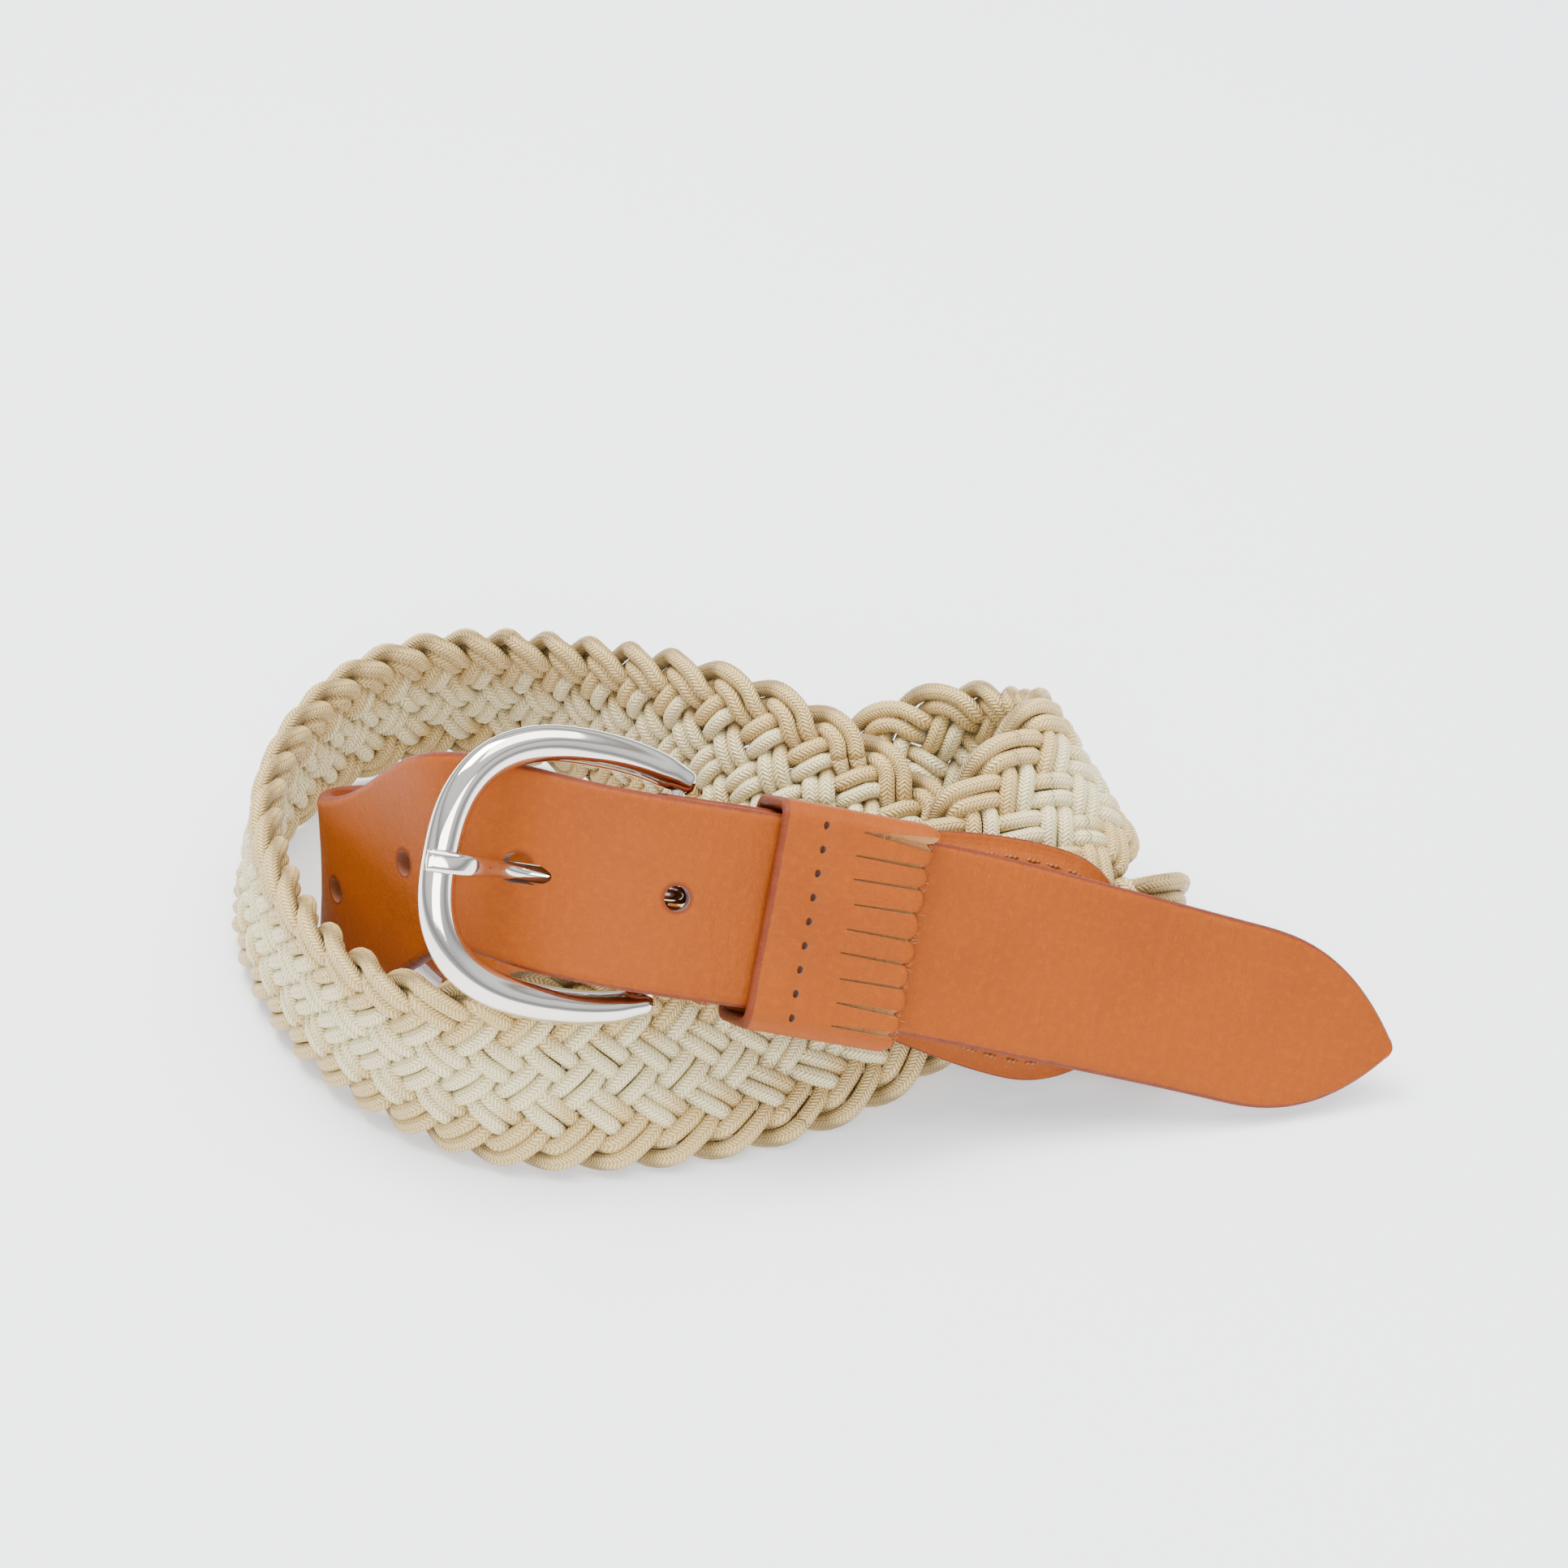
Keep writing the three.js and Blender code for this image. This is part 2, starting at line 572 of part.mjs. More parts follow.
function makeBilletTip() {
  const flex = fromTip(FLEX_FROM_TIP) + GAP / 2;
  const taper = fromTip(BILLET_TIP_TAPER);
  const stations = evenly(flex, taper, 9).concat(spread(taper, fromTip(0), 8).slice(1));
  return sheet(stations.map((s) => strapFrame(s, billetHalfWidth(s), BILLET_THICKNESS)), TIP_COLUMNS);
}
function makeJointBacking() {
  return sheet(jointStations().map((s) => {
    const f = jointBlend(s);
    const under = BILLET_THICKNESS / 2 + JOINT_GAP + TAB_PLY / 2;
    const offset = -(JOINT_OFFSET * (1 - f) + under * f);
    return strapFrame(s, jointHalfWidth(s), TAB_PLY, offset);
  }), BILLET_COLUMNS);
}
function makeJointStitching() {
  const fullest = JOINT_END + JOINT_FULLEST;
  const stations = evenly(JOINT_END + JOINT_STITCH_LENGTH, fullest, 3)
    .concat(spread(fullest, JOINT_END + STITCH_END_INSET, 6).slice(1));
  const height = JOINT_OFFSET + TAB_PLY / 2 + THREAD_RADIUS + JOINT_GAP;
  return outlineThread(jointHalfWidth, stations, height, onBelt);
}

// ---------------------------------------------------------------- keeper
const KEEPER_MIDDLE = KEEPER_START + KEEPER_LENGTH / 2;
const keeperSeat = beltAt(KEEPER_MIDDLE);
const keeperMatrix = new THREE.Matrix4().makeBasis(keeperSeat.t, keeperSeat.w, keeperSeat.n)
  .setPosition(keeperSeat.p);
const KEEPER_BACK = -(TAB_OFFSET + TAB_PLY / 2 + 0.5);
const KEEPER_INNER_HALF = STRAP_WIDTH / 2 + KEEPER_SIDE_GAP;

function roundedRectangle(shape, halfWidth, low, high, radius) {
  shape.moveTo(-halfWidth + radius, low);
  shape.lineTo(halfWidth - radius, low);
  shape.absarc(halfWidth - radius, low + radius, radius, -Math.PI / 2, 0, false);
  shape.lineTo(halfWidth, high - radius);
  shape.absarc(halfWidth - radius, high - radius, radius, 0, Math.PI / 2, false);
  shape.lineTo(-halfWidth + radius, high);
  shape.absarc(-halfWidth + radius, high - radius, radius, Math.PI / 2, Math.PI, false);
  shape.lineTo(-halfWidth, low + radius);
  shape.absarc(-halfWidth + radius, low + radius, radius, Math.PI, Math.PI * 1.5, false);
  return shape;
}

function makeKeeper() {
  const out = KEEPER_LEATHER;
  const outline = roundedRectangle(
    new THREE.Shape(), KEEPER_INNER_HALF + out, KEEPER_BACK - out, KEEPER_FRONT + out,
    KEEPER_OUTER_CORNER,
  );
  outline.holes.push(roundedRectangle(
    new THREE.Path(), KEEPER_INNER_HALF, KEEPER_BACK, KEEPER_FRONT, KEEPER_INNER_CORNER,
  ));
  // The outline's x runs up the strap's width and its y out of the grain; depth runs along the strap.
  const axes = new THREE.Matrix4().makeBasis(vec(0, 1, 0), vec(0, 0, 1), vec(1, 0, 0))
    .setPosition(vec(-KEEPER_LENGTH / 2, KEEPER_SHIFT, 0));
  const band = new THREE.ExtrudeGeometry(outline, {
    depth: KEEPER_LENGTH, bevelEnabled: false, curveSegments: 4,
  }).applyMatrix4(axes);
  const tools = [];
  const fringeStart = -KEEPER_LENGTH / 2 + KEEPER_BAND;
  const fringeLength = KEEPER_LENGTH - KEEPER_BAND;
  const depth = FRINGE_LOWEST - KEEPER_BACK + 2 * out;
  tools.push(new THREE.BoxGeometry(fringeLength + 2, 3 * STRAP_WIDTH, depth)
    .translate(fringeStart + fringeLength / 2 + 1, 0, FRINGE_LOWEST - depth / 2));
  for (let i = 0; i < FRINGE_SLITS; i += 1) {
    const up = KEEPER_SHIFT + (i - (FRINGE_SLITS - 1) / 2) * FRINGE_PITCH;
    tools.push(new THREE.BoxGeometry(fringeLength, FRINGE_SLIT, 4 * out)
      .translate(fringeStart + 1 + fringeLength / 2, up, KEEPER_FRONT + 1));
  }
  for (let i = 0; i < KEEPER_HOLES; i += 1) {
    const up = KEEPER_SHIFT + (i - (KEEPER_HOLES - 1) / 2) * KEEPER_HOLE_PITCH;
    tools.push(new THREE.CylinderGeometry(KEEPER_HOLE_RADIUS, KEEPER_HOLE_RADIUS, 4 * out, 8)
      .rotateX(Math.PI / 2).translate(-KEEPER_LENGTH / 2 + KEEPER_HOLE_INSET, up, KEEPER_FRONT + 1));
  }
  return cut(band, tools).applyMatrix4(keeperMatrix);
}
// A wire staple that joins the keeper's ends behind the strap.
function makeKeeperStaple() {
  const behind = KEEPER_BACK - KEEPER_LEATHER - STAPLE_RADIUS - 0.1;
  const along = -KEEPER_LENGTH / 2 + STAPLE_INSET;
  const points = [-STAPLE_HALF_LENGTH, 0, STAPLE_HALF_LENGTH]
    .map((up) => vec(along, up + KEEPER_SHIFT, behind).applyMatrix4(keeperMatrix));
  return wire(points, STAPLE_RADIUS, 6, 4);
}

// ---------------------------------------------------------------- braid
function makeBraidSection(index) {
  const length = (BRAID_END - BRAID_START) / BRAID_SECTIONS;
  const from = BRAID_START + index * length + (index === 0 ? 0 : GAP / 2);
  const to = BRAID_START + (index + 1) * length - (index === BRAID_SECTIONS - 1 ? 0 : GAP / 2);
  const frames = followingBends(from, to).map((s) => strapFrame(s, BRAID_WIDTH / 2, BRAID_THICKNESS));
  return sheet(frames, BRAID_COLUMNS);
}

// ---------------------------------------------------------------- assembly
const belt = new THREE.Group();
function add(name, geometry, finish) {
  const mesh = new THREE.Mesh(geometry, new THREE.MeshStandardMaterial(finish));
  mesh.name = name;
  belt.add(mesh);
}

// The notch in the bow follows the prong's last three points, the way through the billet all of them.
const NOTCH_FROM = 6;
const prongNotch = prongSweep(GAP, 0, NOTCH_FROM);
const prongWays = evenly(0, PRONG_SWING, PRONG_SWING / PRONG_WAY_STEPS)
  .map((angle) => prongSweep(PRONG_WAY_CLEARANCE, angle, 0));

add('heel_bar', makeHeelBar(), nickel);
add('buckle_frame', makeBuckleFrame(prongNotch), nickel);
add('buckle_prong', prongWire(), nickel);
add('buckle_tab', makeTab(), leather);
add('tab_stitching', makeTabStitching(), threadFinish);
add('bar_stitching', makeBarStitching(), threadFinish);
add('keeper_band', makeKeeper(), leather);
add('keeper_staple', makeKeeperStaple(), nickel);
add('billet_strap', makeBilletStrap(prongWays), leather);
add('billet_tip', makeBilletTip(), leather);
add('joint_backing', makeJointBacking(), darkLeather);
add('joint_stitching', makeJointStitching(), threadFinish);
const SECTION_NAMES = [
  'braid_right_turn', 'braid_far_rise', 'braid_far_run', 'braid_left_end', 'braid_front_left',
  'braid_front_right', 'braid_small_loop', 'braid_small_return', 'braid_inner_run',
];
SECTION_NAMES.forEach((name, index) => add(name, makeBraidSection(index), cord));

// The coil stands on Z = 0 with its footprint centred on the Z axis.
const extent = new THREE.Box3().setFromObject(belt);
const middle = extent.getCenter(vec(0, 0, 0));
belt.children.forEach((mesh) => mesh.geometry.translate(-middle.x, -middle.y, -extent.min.z));

export default belt;
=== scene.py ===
"""A braided elastic-cord belt with leather ends, a polished heel-bar buckle and a fringed keeper.
The belt is buckled and rolled into a double coil. Lengths below are millimetres unless they end in _M."""

import math

import bpy
import numpy as np
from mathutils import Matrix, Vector


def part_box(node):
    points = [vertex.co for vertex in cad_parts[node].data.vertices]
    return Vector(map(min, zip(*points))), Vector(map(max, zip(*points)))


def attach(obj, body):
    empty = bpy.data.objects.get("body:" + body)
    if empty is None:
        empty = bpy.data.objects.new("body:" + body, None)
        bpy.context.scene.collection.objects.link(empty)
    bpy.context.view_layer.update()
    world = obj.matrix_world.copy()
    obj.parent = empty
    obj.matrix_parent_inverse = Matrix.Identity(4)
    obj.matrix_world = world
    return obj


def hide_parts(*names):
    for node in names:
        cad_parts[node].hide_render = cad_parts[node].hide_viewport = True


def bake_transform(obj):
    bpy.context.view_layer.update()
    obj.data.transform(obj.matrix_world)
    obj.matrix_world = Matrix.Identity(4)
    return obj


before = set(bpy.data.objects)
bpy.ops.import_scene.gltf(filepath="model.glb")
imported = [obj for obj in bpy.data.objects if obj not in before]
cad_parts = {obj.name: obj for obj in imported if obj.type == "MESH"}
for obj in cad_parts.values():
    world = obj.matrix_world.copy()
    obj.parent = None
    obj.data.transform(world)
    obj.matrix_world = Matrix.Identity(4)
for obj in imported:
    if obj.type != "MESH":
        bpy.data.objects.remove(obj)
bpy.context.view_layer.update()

MM = 0.001
rng = np.random.default_rng(7)

# ------------------------------------------------------------------ sizes, as in the CAD model
ROUTE = np.array([
    [-36.5, -27.0, 43.1, 0.18, 0.75],
    [-22.8, -26.0, 39.3, 0.20, 0.75],
    [-3.4, -23.3, 33.8, 0.23, 0.75],
    [14.1, -21.4, 28.0, 0.26, 0.76],
    [29.8, -19.9, 22.3, 0.29, 0.76],
    [41.0, -19.4, 17.9, 0.30, 0.77],
    [49.3, -19.4, 15.2, 0.30, 0.78],
    [55.8, -17.8, 15.4, 0.30, 0.85],
    [55.1, -11.2, 12.5, 0.25, 1.90],
    [47.6, -7.2, 6.2, 0.10, 7.00],
    [39.6, -3.9, 4.9, 0, 9.0],
    [30.0, 0.6, 5.8, 0, 3.8],
    [19.8, 7.7, 11.6, 0, 1.8],
    [7.5, 14.6, 19.3, 0, 1.2],
    [-3.2, 20.4, 22.8, 0, 0.88],
    [-15.0, 29.6, 24.0, 0, 0.55],
    [-27.8, 41.6, 19.0, 0, 0.15],
    [-40.7, 52.8, 16.3, 0, -0.15],
    [-54.6, 58.4, 15.8, 0, -0.28],
    [-69.2, 56.6, 15.8, 0.10, -0.28],
    [-81.6, 45.4, 15.8, 0.22, -0.20],
    [-89.4, 27.6, 15.8, 0.28, -0.08],
    [-90.0, 6.6, 15.8, 0.20, 0],
    [-82.0, -14.8, 15.8, 0.05, 0.02],
    [-70.3, -31.2, 15.8, 0, -0.02],
    [-55.6, -40.4, 15.4, 0, 0],
    [-41.7, -40.4, 14.7, 0, 0.42],
    [-26.8, -36.6, 12.4, 0, 0.85],
    [-11.8, -31.6, 10.5, 0, 1.25],
    [3.2, -24.6, 10.0, 0, 1.45],
    [17.1, -15.4, 13.8, -0.12, 1.3],
    [30.0, -6.0, 22.0, -0.30, 1.10],
    [40.1, 5.4, 31.6, -0.62, 0.85],
    [47.1, 16.0, 30.0, -0.72, 0.65],
    [44.4, 28.4, 20.9, -0.60, 0.10],
    [35.3, 36.4, 17.1, -0.10, -0.05],
    [22.5, 35.8, 14.8, 0, 0.5],
    [8.6, 30.0, 8.6, 0, 1.8],
    [-4.3, 10.7, 5.0, 0, 9.0],
    [-16.0, -0.5, 6.9, 0, 30],
    [-28.9, -4.3, 8.7, 0, 6],
    [-41.7, -1.6, 11.3, 0, 1.7],
    [-52.4, 4.8, 13.7, 0, 0.6],
    [-62.6, 9.6, 16.3, 0, 0.1],
    [-71.7, 11.2, 16.7, 0.03, 0],
    [-77.9, 4.5, 18.4, 0.06, 0.05],
    [-73.8, -4.8, 22.3, 0.05, 0.18],
    [-65.8, -12.8, 30.0, 0.05, 0.36],
    [-58.3, -19.5, 42.6, 0.05, 0.36],
    [-51.4, -25.3, 47.4, 0.10, 0.52],
    [-37.2, -31.9, 46.7, 0.16, 0.72],
    [-21.3, -32.2, 43.3, 0.18, 0.75],
    [-6.9, -30.1, 39.1, 0.22, 0.77],
    [8.6, -28.5, 34.4, 0.24, 0.77],
    [24.3, -26.7, 29.2, 0.26, 0.77],
    [41.8, -25.9, 23.2, 0.26, 0.77],
    [60.3, -25.2, 17.0, 0.26, 0.77],
    [78.6, -25.0, 10.9, 0.26, 0.77],
    [92.6, -24.7, 6.5, 0.26, 0.77],
    [106.6, -24.4, 2.1, 0.26, 0.77],
])
BAR_STATION = 1

STRAP_WIDTH = 30.0
BILLET_THICKNESS = 3.0
TAB_PLY = 1.4
TAB_LENGTH = 76.0
TAB_NECK = 28.0
TAB_FULLEST = 59.0
TAB_MAX_WIDTH = 37.0
PADDLE_ROUNDNESS = 2.4
BRAID_PLY_GAP = 2.6              # mid-plane to a ply's inner face, where the braid is between them
TAB_SLOT = ((-7.0, 6.0), (-1.95, 1.95), (-6.0, 6.0))    # the prong's slot: along, across and through
BRAID_START = 26.0
BRAID_LAP = 24.0
BILLET_LENGTH = 268.5
BILLET_TIP_TAPER = 24.0
BILLET_TIP_POWER = 2.6
NOSE_RADIUS = 3.6
JOINT_LENGTH = 40.0
JOINT_MAX_WIDTH = 36.0
JOINT_ROUND = 14.0               # how far from its end the joint is widest
BILLET_STEP = 1.15
SEAM_INSET = 3.0
STITCH_RADIUS = 0.36
BAR_SEAM = 10.0                  # the seam across the tab, from the heel bar
EDGE_WRAPS = (8.1, 9.0)          # turns of thread round the tab's lower edge
FIRST_HOLE = 117.7
HOLE_PITCH = 24.0
HOLE_COUNT = 5
HOLE_RADIUS = 1.95
FLEX_FROM_TIP = 78.0

FRAME_HALF_SPAN = 19.6
FRAME_BOW_CENTRE = -15.2
FRAME_BOW_DEPTH = 21.0
FRAME_BOW_SQUARENESS = 2.6
FRAME_LEG_END = 18.3
FRAME_HALF_WIDTH = 2.8
FRAME_HALF_DEPTH = 2.5
FRAME_TILT = 10.5
FRAME_SKEW = 2.0
LEG_END_OVERHANG = 1.9
LEG_END_SCALE = 0.86
LEG_HOOK = 1.2                   # how much closer to the strap the finished legs end
BAR_RADIUS = 1.3
PRONG_RADIUS = 1.35
PRONG_LINE = [(-6, 3.0), (-12, 2.8), (-17.5, 2.2), (-21.5, 1.9), (-25, 2.8), (-28, 5.0),
              (-30.5, 7.4), (-33.2, 9.2), (-38, 9.6)]

PRONG_PLAY = 0.42
PRONG_FREEDOM = 5                # whole degrees that the prong can turn outward in its hole

KEEPER_START = 13.6
KEEPER_BAND = 12.0
KEEPER_LENGTH = 24.5
KEEPER_LEATHER = 1.9
KEEPER_HOLES = 9
KEEPER_HOLE_PITCH = 3.7
KEEPER_HOLE_RADII = (0.5, 0.66)    # along and across
KEEPER_HOLE_INSET = 7.0
FRINGE_SLITS = 9
FRINGE_PITCH = 3.75
SLIT_FLOOR = 0.4                 # suede left under each slit
KEEPER_BACK = -(BRAID_PLY_GAP + TAB_PLY + 0.5)
KEEPER_FRONT = 9.5
KEEPER_INNER_HALF = 15.9
KEEPER_SHIFT = -0.7
FRINGE_END = KEEPER_LENGTH / 2         # along the belt, from the keeper's middle
FRINGE_START = KEEPER_BAND - FRINGE_END

# the braid: seven pairs of round cords, plaited flat, over one and under one
STRANDS = 7
CORD_WIDTH = 1.42                # half the cord's width in the braid's plane, and half its thickness
CORD_DEPTH = 1.44
BRAID_PERIOD = 58.0              # along the belt, for a pair to cross to the far edge and back
ROW_STEP = 4.42                  # across the belt, from one row of crossings to the next
BRAID_RISE = 1.36
FLOAT_STRETCH = 0.34             # how much flatter than average a pair lies where it is on top
CORD_SHARE = 1.57                # length of a cord for each millimetre of belt
FLOOR_CLEARANCE = 0.03
BRAID_LIFT = 0.7                 # how far up the strap the braid sits between the two leathers

# ------------------------------------------------------------------ the belt's route


def route_rows(u):
    cell = np.clip(np.floor(u).astype(int), 1, len(ROUTE) - 3)
    f = (u - cell)[:, None]
    return ((1 - f) ** 3 * ROUTE[cell - 1] + (3 * f ** 3 - 6 * f ** 2 + 4) * ROUTE[cell]
            + (-3 * f ** 3 + 3 * f ** 2 + 3 * f + 1) * ROUTE[cell + 1] + f ** 3 * ROUTE[cell + 2]) / 6


def unit(v):
    return v / np.linalg.norm(v, axis=-1, keepdims=True)


def distances(points):
    """Distance along a line of points, at each point."""
    return np.concatenate([[0], np.cumsum(np.linalg.norm(np.diff(points, axis=0), axis=1))])


def frames_at(u):
    u = np.asarray(u, float)
    row = route_rows(u)
    t = unit(route_rows(u + 0.01)[:, :3] - route_rows(u - 0.01)[:, :3])
    w = np.column_stack([row[:, 3], row[:, 4], np.ones(len(u))])
    w = unit(w - t * np.sum(w * t, axis=1, keepdims=True))
    return row[:, :3], t, w, np.cross(t, w)


TABLE_U = np.arange(BAR_STATION, len(ROUTE) - 2.02, 1 / 32)
TABLE_S = distances(frames_at(TABLE_U)[0])
ROUTE_LENGTH = TABLE_S[-1]

bar_low, bar_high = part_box("heel_bar")
SHIFT = np.array((bar_low + bar_high) / 2) / MM - frames_at([BAR_STATION])[0][0]


def belt(s):
    """Points on the belt's mid-line at distances s from the heel bar, with along, up and out directions."""
    p, t, w, n = frames_at(np.interp(np.atleast_1d(s), TABLE_S, TABLE_U))
    return p + SHIFT, t, w, n


def belt_at(s):
    """The point and the three directions at one distance s."""
    return tuple(x[0] for x in belt(s))


BAR, BAR_ALONG, BAR_UP, BAR_OUT = belt_at(0)


def from_tip(d):
    return ROUTE_LENGTH - d


JOINT_END = from_tip(BILLET_LENGTH)
BRAID_END = JOINT_END + BRAID_LAP
JOINT_S = JOINT_END + JOINT_LENGTH
FLEX_S = from_tip(FLEX_FROM_TIP)


def smooth(a, b, x):
    f = np.clip((np.asarray(x, float) - a) / (b - a), 0, 1)
    return f * f * (3 - 2 * f)


# ------------------------------------------------------------------ mesh tools

BOX_FACES = [[0, 1, 3, 2], [4, 6, 7, 5], [0, 4, 5, 1], [2, 3, 7, 6], [0, 2, 6, 4], [1, 5, 7, 3]]


def new_object(name, verts, faces, material, uv=None, attributes=None):
    mesh = bpy.data.meshes.new(name)
    mesh.from_pydata((np.asarray(verts) * MM).tolist(), [], faces)
    if uv is not None:
        layer = mesh.uv_layers.new(name="UVMap")
        layer.data.foreach_set("uv", np.asarray(uv, np.float32).ravel())
    for key, values in (attributes or {}).items():
        attribute = mesh.attributes.new(key, "FLOAT", "POINT")
        attribute.data.foreach_set("value", np.asarray(values, np.float32).ravel())
    for m in (material if isinstance(material, list) else [material]):
        mesh.materials.append(m)
    mesh.polygons.foreach_set("use_smooth", [True] * len(mesh.polygons))
    mesh.update()
    obj = bpy.data.objects.new(name, mesh)
    bpy.context.scene.collection.objects.link(obj)
    return obj


def ring_faces(count, sides, closed=False, base=0):
    """Quads between successive rings, and flat caps unless they close, with the faces pointing out."""
    i = np.arange(count if closed else count - 1)[:, None]
    k = np.arange(sides)[None, :]
    j, k1 = (i + 1) % count, (k + 1) % sides
    quads = np.stack([i * sides + k, i * sides + k1, j * sides + k1, j * sides + k], axis=-1).reshape(-1, 4)
    faces = (quads + base).tolist()
    if not closed:
        faces.append([base + x for x in range(sides - 1, -1, -1)])
        faces.append([base + (count - 1) * sides + x for x in range(sides)])
    return faces


def ring_uv(u, v, closed=False):
    """UVs in millimetres for ring_faces: u along the rings, v round each ring with one extra value."""
    u, v = np.asarray(u, float), np.asarray(v, float)
    count, sides = len(u), v.shape[-1] - 1
    v = np.broadcast_to(v, (count, sides + 1))
    last = count if closed else count - 1
    step = u[1] - u[0]
    out = []

    def pairs(place, row):
        return np.stack([np.full(sides, place), row], -1)
    for i in range(last):
        j = (i + 1) % count
        uj = u[j] if j else u[-1] + step
        quad = [pairs(u[i], v[i, :-1]), pairs(u[i], v[i, 1:]), pairs(uj, v[j, 1:]), pairs(uj, v[j, :-1])]
        out.append(np.stack(quad, axis=1).reshape(-1, 2))
    if not closed:
        out += [pairs(u[0], v[0, :-1][::-1]), pairs(u[-1], v[-1, :-1])]
    return np.concatenate(out)


def circle(sides):
    """Angles of evenly spaced points round a circle."""
    return np.arange(sides) / sides * 2 * math.pi


def tube(points, radii, up, sides, squares=2.0):
    """Rings round a path. radii is (across, through) for each point; squares is a superellipse power."""
    points = np.asarray(points, float)
    t = unit(np.gradient(points, axis=0))
    side = unit(np.cross(up, t))
    top = np.cross(t, side)
    radii = np.broadcast_to(radii, (len(points), 2))
    power = np.broadcast_to(squares, len(points))
    angle = circle(sides)
    c, s = np.cos(angle)[None, :], np.sin(angle)[None, :]
    c = np.sign(c) * np.abs(c) ** (2 / power[:, None])
    s = np.sign(s) * np.abs(s) ** (2 / power[:, None])
    return points[:, None, :] + side[:, None, :] * (radii[:, :1] * c)[..., None] \
        + top[:, None, :] * (radii[:, 1:] * s)[..., None]


def solid(name, rings, material, uv=None, attributes=None):
    """One closed body with a set of rings as its skin."""
    return new_object(name, rings.reshape(-1, 3), ring_faces(*rings.shape[:2]), material, uv, attributes)


class Bundle:
    """Several closed tubes in one mesh."""

    def __init__(self):
        self.verts, self.faces, self.uvs = [], [], []

    def add(self, rings, along, around):
        self.faces += ring_faces(*rings.shape[:2], base=len(self.verts))
        self.verts += list(rings.reshape(-1, 3))
        self.uvs.append(ring_uv(along, around))

    def made(self, name, material, attributes=None):
        uv = np.concatenate(self.uvs)
        return new_object(name, np.array(self.verts), self.faces, material, uv, attributes)


def domed(rings, directions, heights, steps):
    """Adds rounded ends to a set of rings. directions and heights are for the start and the end."""
    def dome(ring, direction, height):
        centre = ring.mean(axis=0)
        out = []
        for i in range(1, steps + 1):
            a = i / steps * math.pi / 2 * 0.985
            out.append(centre + (ring - centre) * math.cos(a) + direction * height * math.sin(a))
        return out
    head = dome(rings[0], directions[0], heights[0])[::-1]
    tail = dome(rings[-1], directions[1], heights[1])
    return np.concatenate([np.array(head), rings, np.array(tail)])


def catmull(points, per):
    """A centripetal-like smooth line through points."""
    p = np.asarray(points, float)
    d = np.sqrt(np.linalg.norm(np.diff(p, axis=0), axis=1))
    knots = np.concatenate([[0], np.cumsum(d)])
    m = np.zeros_like(p)
    for i in range(len(p)):
        a, b = max(i - 1, 0), min(i + 1, len(p) - 1)
        m[i] = (p[b] - p[a]) / (knots[b] - knots[a])
    out = []
    for i in range(len(p) - 1):
        h = knots[i + 1] - knots[i]
        f = np.linspace(0, 1, per, endpoint=False)[:, None]
        out.append((2 * f ** 3 - 3 * f ** 2 + 1) * p[i] + (f ** 3 - 2 * f ** 2 + f) * h * m[i]
                   + (-2 * f ** 3 + 3 * f ** 2) * p[i + 1] + (f ** 3 - f ** 2) * h * m[i + 1])
    out.append(p[-1:])
    return np.concatenate(out)


def relax(line, times):
    """Smooths a line of points in place, and leaves its ends."""
    for _ in range(times):
        line[1:-1] = 0.5 * line[1:-1] + 0.25 * (line[:-2] + line[2:])


def cut(obj, verts, faces, material):
    """Cuts a closed mesh out of obj. The cut's walls get the material."""
    cutter = new_object("cutter", verts, faces, material)
    modifier = obj.modifiers.new("cut", "BOOLEAN")
    modifier.operation = "DIFFERENCE"
    modifier.solver = "EXACT"
    modifier.object = cutter
    bpy.context.view_layer.update()
    graph = bpy.context.evaluated_depsgraph_get()
    mesh = bpy.data.meshes.new_from_object(obj.evaluated_get(graph))
    old = obj.data
    obj.modifiers.clear()
    obj.data = mesh
    mesh.name = obj.name
    bpy.data.meshes.remove(old)
    bpy.data.objects.remove(cutter)
    mesh.polygons.foreach_set("use_smooth", [True] * len(mesh.polygons))


def sharpen(obj, degrees):
    """Marks the edges that are sharper than an angle, so that smooth shading stops there."""
    obj.data.set_sharp_from_angle(angle=math.radians(degrees))


# ------------------------------------------------------------------ materials


def srgb(r, g, b):
    def lin(c):
        c /= 255
        return c / 12.92 if c <= 0.04045 else ((c + 0.055) / 1.055) ** 2.4
    return (lin(r), lin(g), lin(b), 1)


